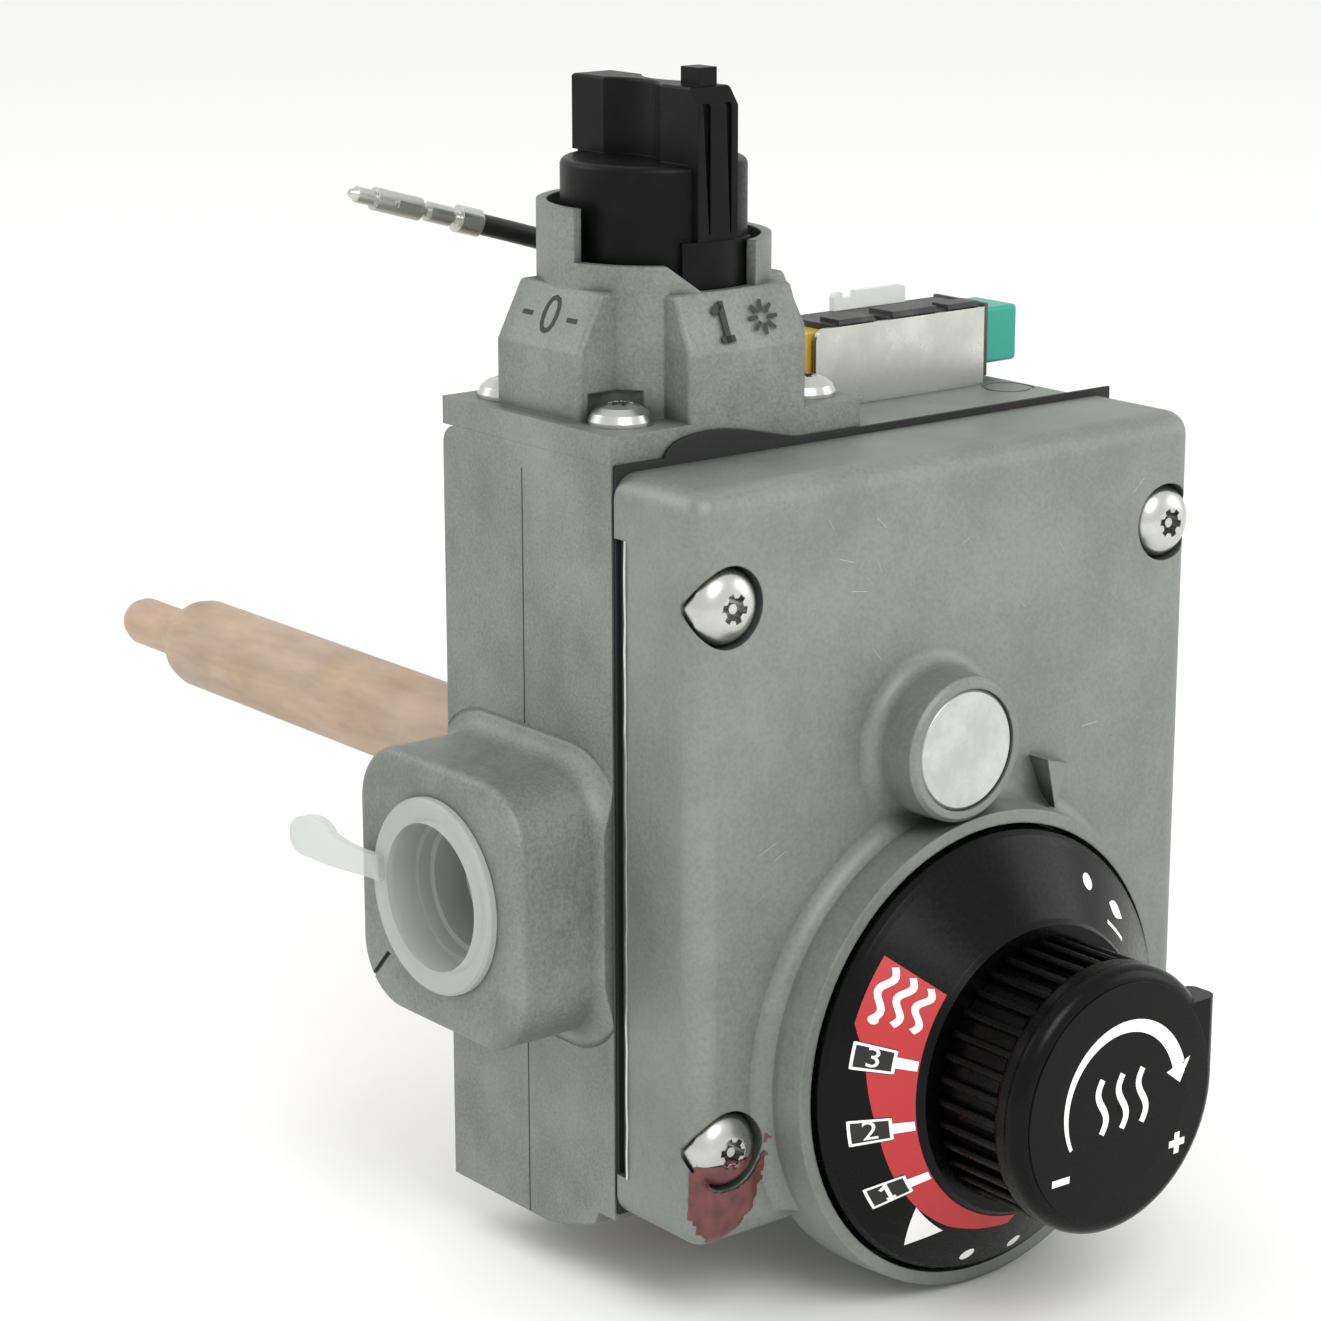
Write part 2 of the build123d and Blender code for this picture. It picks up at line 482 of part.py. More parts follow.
with BuildPart() as regulator_poppet:
    rod(reg_axis, 6.0, -40.2, -38.8)
    rod(reg_axis, 7.3, -38.7, -38.0)
    rod(reg_axis, 1.95, -39.0, -31.0)
    turn(reg_axis, [(1.9, -34.4), (3.2, -34.4), (4.2, -31.6), (0, -31.0), (0, -34.4)])
pieces["regulator_poppet"] = regulator_poppet

with BuildPart() as diaphragm_ring:
    ring(reg_axis, 12.0, 15.0, -37.2, -35.8)
    for k in range(4):
        a = radians(45 + 90 * k)
        rod(seat_y(REG_X + 13.5 * cos(a), REG_Z + 13.5 * sin(a)), 0.9, -36.4, -35.2)
pieces["diaphragm_ring"] = diaphragm_ring

# ---------------------------------------------------------------- temperature dial
with BuildPart() as temperature_dial:
    turn(dial_axis, [(4.1, -52.7), (28.6, -52.7), (28.6, -56.2), (28.4, -57.2), (27.9, -58.0), (27.2, -58.5),
                     (18.9, -64.7), (18.4, -65.4), (4.1, -65.4)])
    ring(dial_axis, 7.0, 24.5, -57.4, -52.0, Mode.SUBTRACT)
    # Stop peg that runs in the space behind the dial
    rod(seat_y(DIAL_X, DIAL_Z + 21.0), 1.5, -57.5, -52.8)
pieces["temperature_dial"] = temperature_dial

with BuildPart() as temperature_knob:
    with BuildSketch(dial_axis[0]) as knob_outline:
        with BuildLine():
            Polyline((15.3, -79.85), (4.1, -79.85), (4.1, -65.5), (RIB_VALLEY, -65.5), (RIB_VALLEY, -75.0))
            ThreePointArc((RIB_VALLEY, -75.0), (16.5, -75.35), (RIB_TIP, -76.2))
            Line((RIB_TIP, -76.2), (RIB_TIP, -77.4))
            ThreePointArc((RIB_TIP, -77.4), (16.45, -79.2), (15.3, -79.85))
        make_face()
    revolve(knob_outline.sketch, axis=dial_axis[1])
    with BuildSketch(Plane.XZ.offset(66.0)):
        with Locations((DIAL_X, DIAL_Z)):
            with PolarLocations(RIB_VALLEY + 0.2, RIBS):
                RectangleRounded(2.0, 1.15, 0.5)
    extrude(amount=75.9 - 66.0)
    rod(dial_axis, 4.2, -79.85, -77.5)
pieces["temperature_knob"] = temperature_knob

with BuildPart() as knob_face:
    turn(dial_axis, [(0, -79.86), (15.2, -79.86), (15.15, -80.02), (11.0, -80.2), (0, -80.3)])
    rod(dial_axis, 4.0, -79.9, -79.87)
pieces["knob_face"] = knob_face

with BuildPart() as dial_shaft:
    rod(dial_axis, 4.0, -77.4, -32.0)
    rod(dial_axis, 6.4, -38.6, -36.6)
    rod(dial_axis, 2.1, -46.0, -31.0, Mode.SUBTRACT)
pieces["dial_shaft"] = dial_shaft

with BuildPart() as stop_washer:
    ring(dial_axis, 4.1, 6.6, -52.65, -52.25)
pieces["stop_washer"] = stop_washer

with BuildPart() as dial_stop:
    ring(dial_axis, 20.2, 22.0, -55.8, -52.2)
    block(-40, DIAL_X + 1.8, -60, -50, DIAL_Z - 30, DIAL_Z + 30, Mode.SUBTRACT)
    block(DIAL_X, 40, -60, -50, DIAL_Z - 30, DIAL_Z + 3.3, Mode.SUBTRACT)
pieces["dial_stop"] = dial_stop

with BuildPart() as adjusting_pin:
    turn(dial_axis, [(0, -44.9), (2.0, -44.9), (2.0, -18.4), (0.8, -16.3), (0, -16.2)])
pieces["adjusting_pin"] = adjusting_pin

# ---------------------------------------------------------------- thermostat behind the cover
LEVER_Y = -15.0
with BuildPart() as thermostat_lever:
    block(-5, 5, LEVER_Y - 1.0, LEVER_Y + 1.0, -20.0, 30.0)
    block(4, 21, LEVER_Y - 1.0, LEVER_Y + 1.0, 22.0, 30.0)
    rod(seat_x(LEVER_Y, DIAL_Z), 1.9, -7.0, 7.0)
    rod(seat_x(LEVER_Y, DIAL_Z), 1.05, -8, 8, Mode.SUBTRACT)
    block(-2.5, 2.5, LEVER_Y - 3, LEVER_Y - 0.4, DIAL_Z - 2.5, DIAL_Z + 2.5, Mode.SUBTRACT)
    rod(seat_y(0, 8), 2.2, LEVER_Y - 3, LEVER_Y + 3, Mode.SUBTRACT)
pieces["thermostat_lever"] = thermostat_lever

with BuildPart() as lever_bracket:
    for side in (-1, 1):
        x = side * 7.9
        block(min(x, x + side * 0.6), max(x, x + side * 0.6), -18.0, CAV_BACK, DIAL_Z - 3, DIAL_Z + 3)
        block(min(x, x - side * 3), max(x, x - side * 3), CAV_BACK - 1.0, CAV_BACK, DIAL_Z - 8, DIAL_Z - 3.2)
        block(min(x, x + side * 0.6), max(x, x + side * 0.6), CAV_BACK - 1.0, CAV_BACK, DIAL_Z - 8, DIAL_Z - 2.9)
    block(-8.5, 8.5, CAV_BACK - 1.0, CAV_BACK, DIAL_Z - 8, DIAL_Z - 5.5)
    rod(seat_x(LEVER_Y, DIAL_Z), 1.0, -8.2, 8.2)
pieces["lever_bracket"] = lever_bracket

with BuildPart() as valve_seat:
    block(CAV_X0 + 14.0, CAV_X1, -24.8, -23.2, 12.0, 42.0)
    block(CAV_X0 + 14.0, CAV_X1, -24.8, CAV_BACK, 12.0, 13.2)
    block(CAV_X0 + 14.0, CAV_X1, -24.8, CAV_BACK, 40.8, 42.0)
    rod(valve_axis, 5.0, -26, -22, Mode.SUBTRACT)
pieces["valve_seat"] = valve_seat

with BuildPart() as main_valve:
    rod(valve_axis, 7.0, -27.4, -26.2)
    rod(valve_axis, 1.6, -31.0, -16.1)
    for k in range(3):
        a = radians(90 + 120 * k)
        x, z = VALVE_X + 3.2 * cos(a), VALVE_Z + 3.2 * sin(a)
        rod(seat_y(x, z), 0.7, -26.3, -20.0)
    rod(valve_axis, 4.2, -20.6, -19.8)
pieces["main_valve"] = main_valve

with BuildPart() as main_valve_rubber:
    ring(valve_axis, 4.3, 7.6, -26.15, -24.85)
pieces["main_valve_rubber"] = main_valve_rubber

with BuildPart() as main_valve_spring:
    coil((VALVE_X, -46.8, VALVE_Z), (0, 1, 0), 4.6, 0.45, 18.8, 6)
pieces["main_valve_spring"] = main_valve_spring

# ---------------------------------------------------------------- probe into the tank
with BuildPart() as tank_shank:
    ring(probe_axis, TUBE_R - 0.05, 9.45, CAV_BACK, 0.1)
    ring(probe_axis, TUBE_R - 0.05, SHANK_R, 0.0, SHANK_LEN)
    for k in range(10):
        y = 6.0 + 1.81 * k
        turn(probe_axis, [(SHANK_R + 0.1, y), (SHANK_R + 0.1, y + 1.0), (SHANK_R - 0.75, y + 0.5)], Mode.SUBTRACT)
pieces["tank_shank"] = tank_shank

with BuildPart() as probe_tube:
    turn(probe_axis, [(6.2, -9.0), (TUBE_R - 0.05, -9.0), (TUBE_R - 0.05, SHANK_LEN + 0.1), (TUBE_R, SHANK_LEN + 0.1),
                      (TUBE_R, TUBE_END - 3.0), (6.7, TUBE_END - 1.0), (5.4, TUBE_END + 0.6),
                      (TIP_R + 0.4, TUBE_END + 2.4), (TIP_R, TUBE_END + 4.5), (TIP_R, TIP_END - 3.4),
                      (3.3, TIP_END - 1.6), (2.0, TIP_END - 0.4), (0, TIP_END), (0, TIP_END - 2.2), (2.7, TIP_END - 4),
                      (2.7, TUBE_END + 3), (6.2, TUBE_END - 2.4)])
pieces["probe_tube"] = probe_tube

with BuildPart() as probe_rod:
    rod(probe_axis, 2.2, -13.7, TIP_END - 4.2)
pieces["probe_rod"] = probe_rod

with BuildPart() as probe_sleeve:
    turn(probe_axis, [(SLEEVE_R - 0.6, SHANK_LEN + 0.4), (SLEEVE_R, SHANK_LEN + 0.4), (SLEEVE_R, SLEEVE_END - 1.2),
                      (SLEEVE_R - 0.5, SLEEVE_END - 0.3), (SLEEVE_R - 1.4, SLEEVE_END), (0, SLEEVE_END),
                      (0, SLEEVE_END - 0.7), (SLEEVE_R - 1.5, SLEEVE_END - 0.7), (SLEEVE_R - 0.6, SLEEVE_END - 1.6)])
pieces["probe_sleeve"] = probe_sleeve

# ---------------------------------------------------------------- inlet plug and screen
# Pull tab: a curved strip in plan, narrow at its root and round at its tip seen from the side
with BuildSketch(Plane.XY.offset(3)) as tab_plan:
    with BuildLine():
        Spline((-57.3, -7.4), (-57.5, -5.2), (-59.8, -0.6), (-62.4, 4.9))
        Line((-62.4, 4.9), (-61.5, 5.3))
        Spline((-61.5, 5.3), (-58.8, -0.2), (-56.5, -5.0), (-56.3, -7.4))
        Line((-56.3, -7.4), (-57.3, -7.4))
    make_face()
with BuildSketch(Plane.YZ.offset(-66)) as tab_side:
    with BuildLine():
        Spline((-7.4, 9.4), (-2.5, 9.8), (1.2, 12.7))
        Line((1.2, 12.7), (3.4, 8.2))
        Spline((3.4, 8.2), (-1.5, 6.6), (-7.4, 6.1))
        Line((-7.4, 6.1), (-7.4, 9.4))
    make_face()
    with Locations((2.2, 10.4)):
        Circle(2.7)
pull_tab = extrude(tab_plan.sketch, amount=14) & extrude(tab_side.sketch, amount=12)

with BuildPart() as inlet_plug:
    turn(inlet_axis, [(9.3, -56.4), (12.1, -56.4), (12.4, -56.0), (12.4, INLET_X - 0.02), (9.85, INLET_X - 0.02),
                      (9.7, -43.5), (0, -43.5), (0, -44.4), (5.6, -44.4), (5.6, -46.4), (6.4, -46.4), (6.5, -45.2),
                      (7.6, -45.2), (7.8, -50.2), (8.5, -50.4), (8.6, -53.4), (9.2, -53.8)])
    add(pull_tab)
    turn(inlet_axis, [(0, -57.3), (9.3, -57.3), (9.3, -52.1), (0, -52.1)], Mode.SUBTRACT)
pieces["inlet_plug"] = inlet_plug

with BuildPart() as inlet_screen:
    rod(inlet_axis, 9.9, -41.2, -40.25)
    with BuildSketch(Plane.YZ.offset(-42)):
        with Locations((INLET_Y, INLET_Z)):
            with HexLocations(1.35, 9, 9):
                Circle(0.85)
    extrude(amount=3, mode=Mode.SUBTRACT)
pieces["inlet_screen"] = inlet_screen

# ---------------------------------------------------------------- igniter on the top
with BuildPart() as igniter_bracket:
    block(IGN_X0, IGN_X1 - 0.1, IGN_Y0, IGN_Y1, BODY_Z1, IGN_Z1)
    fillet(igniter_bracket.edges().filter_by(Axis.Y).filter_by(lambda e: e.center().X < 1), 1.6)
    block(IGN_X0 - 1, IGN_X1 + 1, IGN_Y0 + 0.6, IGN_Y1 - 0.6, BODY_Z1 + 0.8, IGN_Z1 + 1, Mode.SUBTRACT)
    # Gap in the rear wall for the lead
    block(IGN_X0 - 1, 3.6, IGN_Y1 - 0.8, IGN_Y1 + 1, BODY_Z1 + 1.2, IGN_Z1 + 1, Mode.SUBTRACT)
    for x in (4.5, 25.0):
        rod(seat_z(x, -18.2), 1.25, 55.0, BODY_Z1 + 0.4)
pieces["igniter_bracket"] = igniter_bracket

with BuildPart() as igniter_housing:
    block(3.2, 29.3, IGN_Y0 + 0.75, IGN_Y1 - 0.75, 61.9, 71.4)
    block(29.25, 29.9, IGN_Y0 + 0.1, IGN_Y1 - 0.1, 62.0, 71.6)
    # Notched flaps over the top edge
    block(4.2, 10.2, IGN_Y0 + 0.4, IGN_Y0 + 4.0, 71.3, 72.0)
    block(13.4, 21.0, IGN_Y0 + 0.4, IGN_Y0 + 5.0, 71.3, 72.1)
    block(23.0, 28.4, IGN_Y0 + 0.4, IGN_Y0 + 3.4, 71.3, 72.0)
    block(11.0, 12.8, IGN_Y0, IGN_Y0 + 3.0, 70.4, 73, Mode.SUBTRACT)
    block(BUTTON_STOP, 31.0, -22.3, -14.1, 63.2, 70.85, Mode.SUBTRACT)
    block(8.0, 20.0, -20.6, -15.8, 64.8, 69.6, Mode.SUBTRACT)
pieces["igniter_housing"] = igniter_housing

with BuildPart() as igniter_button:
    block(BUTTON_IN, 36.2, -22.2, -14.2, 63.3, 70.75)
    fillet(igniter_button.edges().filter_by(Axis.X) + igniter_button.faces().sort_by(Axis.X)[-1].edges(), 0.6)
    block(BUTTON_IN - 1, 31.0, -20.4, -16.0, 65.4, 69.0, Mode.SUBTRACT)
pieces["igniter_button"] = igniter_button

with BuildPart() as igniter_hammer:
    block(14.4, 19.6, -20.2, -16.2, 65.2, 69.2)
pieces["igniter_hammer"] = igniter_hammer

with BuildPart() as igniter_spring:
    coil((20.0, -18.2, 67.2), (1, 0, 0), 1.35, 0.28, 10.6, 8)
pieces["igniter_spring"] = igniter_spring

with BuildPart() as igniter_cap:
    block(-0.9, 3.15, -22.0, -14.2, 62.7, 70.6)
    fillet(igniter_cap.faces().sort_by(Axis.X)[0].edges(), 0.7)
    rod(seat_y(0.8, 66.9), 1.45, -15.4, -13.0, Mode.SUBTRACT)
pieces["igniter_cap"] = igniter_cap

with BuildPart() as igniter_tab:
    block(10.4, 22.8, -14.85, -13.85, 71.45, 73.8)
    fillet(igniter_tab.edges().filter_by(Axis.Y).filter_by(lambda e: e.center().Z > 73), 0.8)
    block(11.8, 14.0, -16, -13, 73.0, 74.5, Mode.SUBTRACT)
pieces["igniter_tab"] = igniter_tab


# ---------------------------------------------------------------- igniter lead and its terminal
def run(a, b):
    return Vector(*b) - Vector(*a)


lead_radii = []
for before, here, after in zip(LEAD, LEAD[1:], LEAD[2:]):
    one, two = run(before, here), run(here, after)
    bend = radians(one.get_angle(two))
    lead_radii.append(round(0.45 * min(one.length, two.length) / tan(bend / 2), 2))
print("lead radii", lead_radii)

with BuildPart() as lead_wire:
    with BuildLine() as route:
        FilletPolyline(*LEAD, radius=lead_radii)
    lead_path = route.wires()[0]
    with BuildSketch(Plane(origin=lead_path @ 0, z_dir=lead_path % 0)):
        Circle(LEAD_D / 2)
    sweep(path=lead_path)
print("lead length", round(lead_path.length, 1))
pieces["lead_wire"] = lead_wire

along = run(LEAD[-2], LEAD[-1]).normalized()
TERMINAL = Plane(origin=LEAD[-1], x_dir=(0, 1, 0), z_dir=along)
with BuildPart() as lead_terminal:
    # Insulation crimp, conductor crimp, barrel with two tangs and a round nose
    for r0, low, high in ((1.75, 0.05, 3.2), (0.8, 3.0, 4.4), (1.25, 4.3, 7.6),
                          (0.75, 7.5, 8.9), (1.45, 8.8, 15.4), (1.0, 15.3, 18.0)):
        with BuildSketch(TERMINAL.offset(low)) as section:
            Circle(r0)
        extrude(section.sketch, amount=high - low)
    with BuildSketch(TERMINAL.offset(17.9)) as section:
        Circle(1.0)
    extrude(section.sketch, amount=1.0, taper=30)
    for side in (-1, 1):
        tang = Plane(origin=TERMINAL.from_local_coords((0, 0, 9.5)), x_dir=along, z_dir=(0, side, 0))
        prism(tang.offset(1.2), [(0, -0.5), (3.4, -0.5), (3.4, 0.5), (0, 0.5)], 0.4)
pieces["lead_terminal"] = lead_terminal

for name, piece in pieces.items():
    piece.part.label = name
    export_step(piece.part, "parts/" + name + ".step")
print(len(pieces), "pieces written")
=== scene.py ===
"""Looks of a combination gas control valve, built on its CAD frame.

Install-free add-on layout: each group of pieces has its own operator, and main() calls them in order.
"""

import json
import math

import bmesh
import bpy
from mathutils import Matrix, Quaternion, Vector
from mathutils.bvhtree import BVHTree


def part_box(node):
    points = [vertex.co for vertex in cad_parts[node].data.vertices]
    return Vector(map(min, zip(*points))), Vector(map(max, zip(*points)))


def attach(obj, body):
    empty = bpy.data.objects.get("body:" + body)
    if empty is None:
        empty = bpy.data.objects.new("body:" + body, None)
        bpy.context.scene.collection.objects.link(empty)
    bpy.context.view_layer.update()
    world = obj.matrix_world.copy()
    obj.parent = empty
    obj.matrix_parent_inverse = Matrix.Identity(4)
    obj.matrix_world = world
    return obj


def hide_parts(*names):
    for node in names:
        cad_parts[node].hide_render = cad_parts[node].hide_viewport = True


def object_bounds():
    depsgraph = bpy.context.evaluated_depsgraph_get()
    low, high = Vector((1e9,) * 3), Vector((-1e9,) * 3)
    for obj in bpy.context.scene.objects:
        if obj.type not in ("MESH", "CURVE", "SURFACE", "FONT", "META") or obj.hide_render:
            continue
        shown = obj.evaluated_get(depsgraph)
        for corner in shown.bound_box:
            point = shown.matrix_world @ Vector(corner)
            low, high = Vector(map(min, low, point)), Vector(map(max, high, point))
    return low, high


bl_info = {
    "name": "Gas control valve",
    "version": (1, 0, 0),
    "blender": (4, 5, 0),
    "location": "View3D > Sidebar > Gas valve",
    "description": "Materials, printed marks, lead and studio for a gas control valve",
    "category": "Object",
}

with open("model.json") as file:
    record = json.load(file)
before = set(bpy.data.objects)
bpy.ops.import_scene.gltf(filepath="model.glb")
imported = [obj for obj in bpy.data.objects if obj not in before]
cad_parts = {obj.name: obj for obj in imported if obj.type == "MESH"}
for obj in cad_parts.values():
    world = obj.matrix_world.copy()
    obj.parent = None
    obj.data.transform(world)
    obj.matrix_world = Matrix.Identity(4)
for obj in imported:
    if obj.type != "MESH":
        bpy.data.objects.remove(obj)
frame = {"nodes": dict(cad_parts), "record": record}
CAD_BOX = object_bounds()
MM = 0.001

# Places taken from the frame, in metres
COVER_LOW, COVER_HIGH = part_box("front_cover")
DIAL_LOW, DIAL_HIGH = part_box("temperature_dial")
FACE_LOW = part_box("knob_face")[0]
KNOB_LOW, KNOB_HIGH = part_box("control_knob")
BODY_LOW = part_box("valve_body")[0]
DIAL_X = (DIAL_LOW.x + DIAL_HIGH.x) / 2
DIAL_Z = (DIAL_LOW.z + DIAL_HIGH.z) / 2
KNOB_X = (KNOB_LOW.x + KNOB_HIGH.x) / 2
KNOB_Y = KNOB_LOW.y + 12.4 * MM
COVER_FRONT = -50.2 * MM
INK = 0.035 * MM
FACET_LOW = 72.6
COUNTERBORE_R = 5.2
FURTHEST_SKIN = -44.5 * MM


# ---------------------------------------------------------------- small tools
def linear(code, alpha=1.0):
    """Linear colour from an sRGB hex code."""
    channels = [int(code[i:i + 2], 16) / 255 for i in (1, 3, 5)]
    return [c / 12.92 if c <= 0.04045 else ((c + 0.055) / 1.055) ** 2.4 for c in channels] + [alpha]


def add(tree, kind, inputs=None, **settings):
    """Adds a node to a tree; an input is a value or the socket that feeds it."""
    made = tree.nodes.new(kind)
    for key, value in settings.items():
        setattr(made, key, value)
    for key, value in (inputs or {}).items():
        if isinstance(value, bpy.types.NodeSocket):
            tree.links.new(value, made.inputs[key])
        else:
            made.inputs[key].default_value = value
    return made


def per_mm(size_mm):
    """Texture scale whose cells are that many millimetres across."""
    return 1.0 / (size_mm * MM)


def start(name, **shader):
    """New material with a Principled shader set up from plain values."""
    material = bpy.data.materials.new(name)
    material.use_nodes = True
    tree = material.node_tree
    principled = tree.nodes["Principled BSDF"]
    for key, value in shader.items():
        principled.inputs[key.replace("_", " ")].default_value = value
    return material, tree, principled


def object_point(tree):
    return add(tree, "ShaderNodeTexCoord").outputs["Object"]


def two_tone(tree, factor, low, high, colours):
    """Colour that runs between two hex colours as the factor runs from low to high."""
    ramp = add(tree, "ShaderNodeMapRange", {"Value": factor, "From Min": low, "From Max": high})
    mix = add(tree, "ShaderNodeMix", {0: ramp.outputs[0], 6: linear(colours[0]), 7: linear(colours[1])},
              data_type="RGBA")
    return mix.outputs[2]


# ---------------------------------------------------------------- materials
def cast_aluminium(name, colours, painted_shade_hex, grain_mm, depth_mm, roughness):
    """Die-cast aluminium, shot blasted: a fine grain, cloudy tone and painted shade in the corners."""
    material, tree, shader = start(name, Metallic=0.45)
    point = object_point(tree)
    cloud = add(tree, "ShaderNodeTexNoise", {"Vector": point, "Scale": per_mm(14), "Detail": 5.0,
                                             "Roughness": 0.6})
    grain = add(tree, "ShaderNodeTexNoise", {"Vector": point, "Scale": per_mm(grain_mm), "Detail": 3.0,
                                             "Roughness": 0.65})
    both = add(tree, "ShaderNodeMath", {0: cloud.outputs[0], 1: grain.outputs[0]}, operation="ADD")
    tone = two_tone(tree, both.outputs[0], 0.78, 1.22, colours)
    # Painted shade: an occlusion mask pulls the colour towards the shade colour in corners and crevices, where
    # shade falls.
    corner = add(tree, "ShaderNodeAmbientOcclusion", {"Distance": 3.5 * MM}, samples=6)
    shade = add(tree, "ShaderNodeMapRange", {"Value": corner.outputs["AO"], "From Min": 0.35,
                                             "From Max": 0.85})
    painted_corner_shade = add(tree, "ShaderNodeMix", {0: shade.outputs[0], 6: linear(painted_shade_hex), 7: tone}, data_type="RGBA")
    tree.links.new(painted_corner_shade.outputs[2], shader.inputs["Base Color"])
    rough = add(tree, "ShaderNodeMapRange", {"Value": grain.outputs[0], "From Min": 0.3, "From Max": 0.7,
                                             "To Min": roughness - 0.07, "To Max": roughness + 0.08})
    tree.links.new(rough.outputs[0], shader.inputs["Roughness"])
    # The moulded edges are slightly rounded, which a soft normal shows
    edge = add(tree, "ShaderNodeBevel", {"Radius": 0.35 * MM}, samples=4)
    bump = add(tree, "ShaderNodeBump", {"Strength": 0.55, "Distance": depth_mm * MM, "Height": grain.outputs[0],
                                        "Normal": edge.outputs[0]})
    tree.links.new(bump.outputs[0], shader.inputs["Normal"])
    return material


def moulded_plastic(name, colour, roughness, grain_mm=0.6, scuff=None, sheen=0.5):
    """Injection-moulded plastic with a faint spark-eroded grain."""
    material, tree, shader = start(name, Base_Color=linear(colour), IOR=1.5, Specular_IOR_Level=sheen)
    point = object_point(tree)
    grain = add(tree, "ShaderNodeTexNoise", {"Vector": point, "Scale": per_mm(grain_mm), "Detail": 2.0})
    if scuff:
        wear = add(tree, "ShaderNodeTexNoise", {"Vector": point, "Scale": per_mm(5), "Detail": 6.0})
        tone = two_tone(tree, wear.outputs[0], 0.45, 0.75, (colour, scuff))
        tree.links.new(tone, shader.inputs["Base Color"])
    rough = add(tree, "ShaderNodeMapRange", {"Value": grain.outputs[0], "From Min": 0.3, "From Max": 0.7,
                                             "To Min": roughness - 0.05, "To Max": roughness + 0.07})
    tree.links.new(rough.outputs[0], shader.inputs["Roughness"])
    edge = add(tree, "ShaderNodeBevel", {"Radius": 0.2 * MM}, samples=4)
    bump = add(tree, "ShaderNodeBump", {"Strength": 0.3, "Distance": 0.02 * MM, "Height": grain.outputs[0],
                                        "Normal": edge.outputs[0]})
    tree.links.new(bump.outputs[0], shader.inputs["Normal"])
    return material


def plated_steel(name, colours, roughness, cell_mm=3.0):
    """Bright zinc plate or drawn metal: mirror-like patches with a slight cloud."""
    material, tree, shader = start(name, Metallic=1.0)
    point = object_point(tree)
    cloud = add(tree, "ShaderNodeTexNoise", {"Vector": point, "Scale": per_mm(cell_mm), "Detail": 6.0,
                                             "Roughness": 0.7})
    tree.links.new(two_tone(tree, cloud.outputs[0], 0.35, 0.65, colours), shader.inputs["Base Color"])
    rough = add(tree, "ShaderNodeMapRange", {"Value": cloud.outputs[0], "From Min": 0.3, "From Max": 0.7,
                                             "To Min": roughness - 0.08, "To Max": roughness + 0.1})
    tree.links.new(rough.outputs[0], shader.inputs["Roughness"])
    edge = add(tree, "ShaderNodeBevel", {"Radius": 0.15 * MM}, samples=4)
    tree.links.new(edge.outputs[0], shader.inputs["Normal"])
    return material


def drawn_copper(name):
    """Bare drawn copper tube: dull tan with lengthwise darker stains."""
    material, tree, shader = start(name, Metallic=0.1, Roughness=0.5)
    point = object_point(tree)
    stretched = add(tree, "ShaderNodeMapping", {"Vector": point, "Scale": (1.0, 0.22, 1.0)})
    stain = add(tree, "ShaderNodeTexNoise", {"Vector": stretched.outputs[0], "Scale": per_mm(4), "Detail": 7.0,
                                             "Roughness": 0.7})
    tone = two_tone(tree, stain.outputs[0], 0.38, 0.66, ("#AF8F6E", "#8B7257"))
    tree.links.new(tone, shader.inputs["Base Color"])
    bump = add(tree, "ShaderNodeBump", {"Strength": 0.3, "Distance": 0.03 * MM, "Height": stain.outputs[0]})
    tree.links.new(bump.outputs[0], shader.inputs["Normal"])
    return material


def clouded_polyethylene(name, colour, clear, roughness):
    """Thin moulded polyethylene: milky, lets some of what is behind it through."""
    material, tree, shader = start(name, Base_Color=linear(colour), Roughness=roughness, IOR=1.5)
    point = object_point(tree)
    haze = add(tree, "ShaderNodeTexNoise", {"Vector": point, "Scale": per_mm(9), "Detail": 4.0})
    alpha = add(tree, "ShaderNodeMapRange", {"Value": haze.outputs[0], "From Min": 0.3, "From Max": 0.7,
                                             "To Min": 1 - clear - 0.03, "To Max": 1 - clear + 0.03})
    tree.links.new(alpha.outputs[0], shader.inputs["Alpha"])
    return material


def brushed_disc(name):
    """Bright aluminium seal disc with handling marks."""
    material, tree, shader = start(name, Metallic=0.6, Roughness=0.38)
    point = object_point(tree)
    cloud = add(tree, "ShaderNodeTexNoise", {"Vector": point, "Scale": per_mm(4), "Detail": 7.0,
                                             "Roughness": 0.7})
    tone = two_tone(tree, cloud.outputs[0], 0.36, 0.6, ("#C2C4C1", "#B1B4B0"))
    tree.links.new(tone, shader.inputs["Base Color"])
    bump = add(tree, "ShaderNodeBump", {"Strength": 0.4, "Distance": 0.06 * MM, "Height": cloud.outputs[0]})
    tree.links.new(bump.outputs[0], shader.inputs["Normal"])
    return material


def flat_ink_or_shade(name, colour, roughness=0.5):
    """Pad-printed ink or paint, and the painted shade of the engraved collar marks: one even colour."""
    return start(name, Base_Color=linear(colour), Roughness=roughness)[0]


def seal_lacquer(name):
    """Brushed-on tamper lacquer: a glossy maroon skin, thinner at its edges."""
    material, tree, shader = start(name, Roughness=0.3)
    point = object_point(tree)
    streak = add(tree, "ShaderNodeTexNoise", {"Vector": point, "Scale": per_mm(2), "Detail": 4.0})
    tone = two_tone(tree, streak.outputs[0], 0.35, 0.65, ("#522827", "#6A3634"))
    tree.links.new(tone, shader.inputs["Base Color"])
    bump = add(tree, "ShaderNodeBump", {"Strength": 0.5, "Distance": 0.15 * MM, "Height": streak.outputs[0]})
    tree.links.new(bump.outputs[0], shader.inputs["Normal"])
    return material


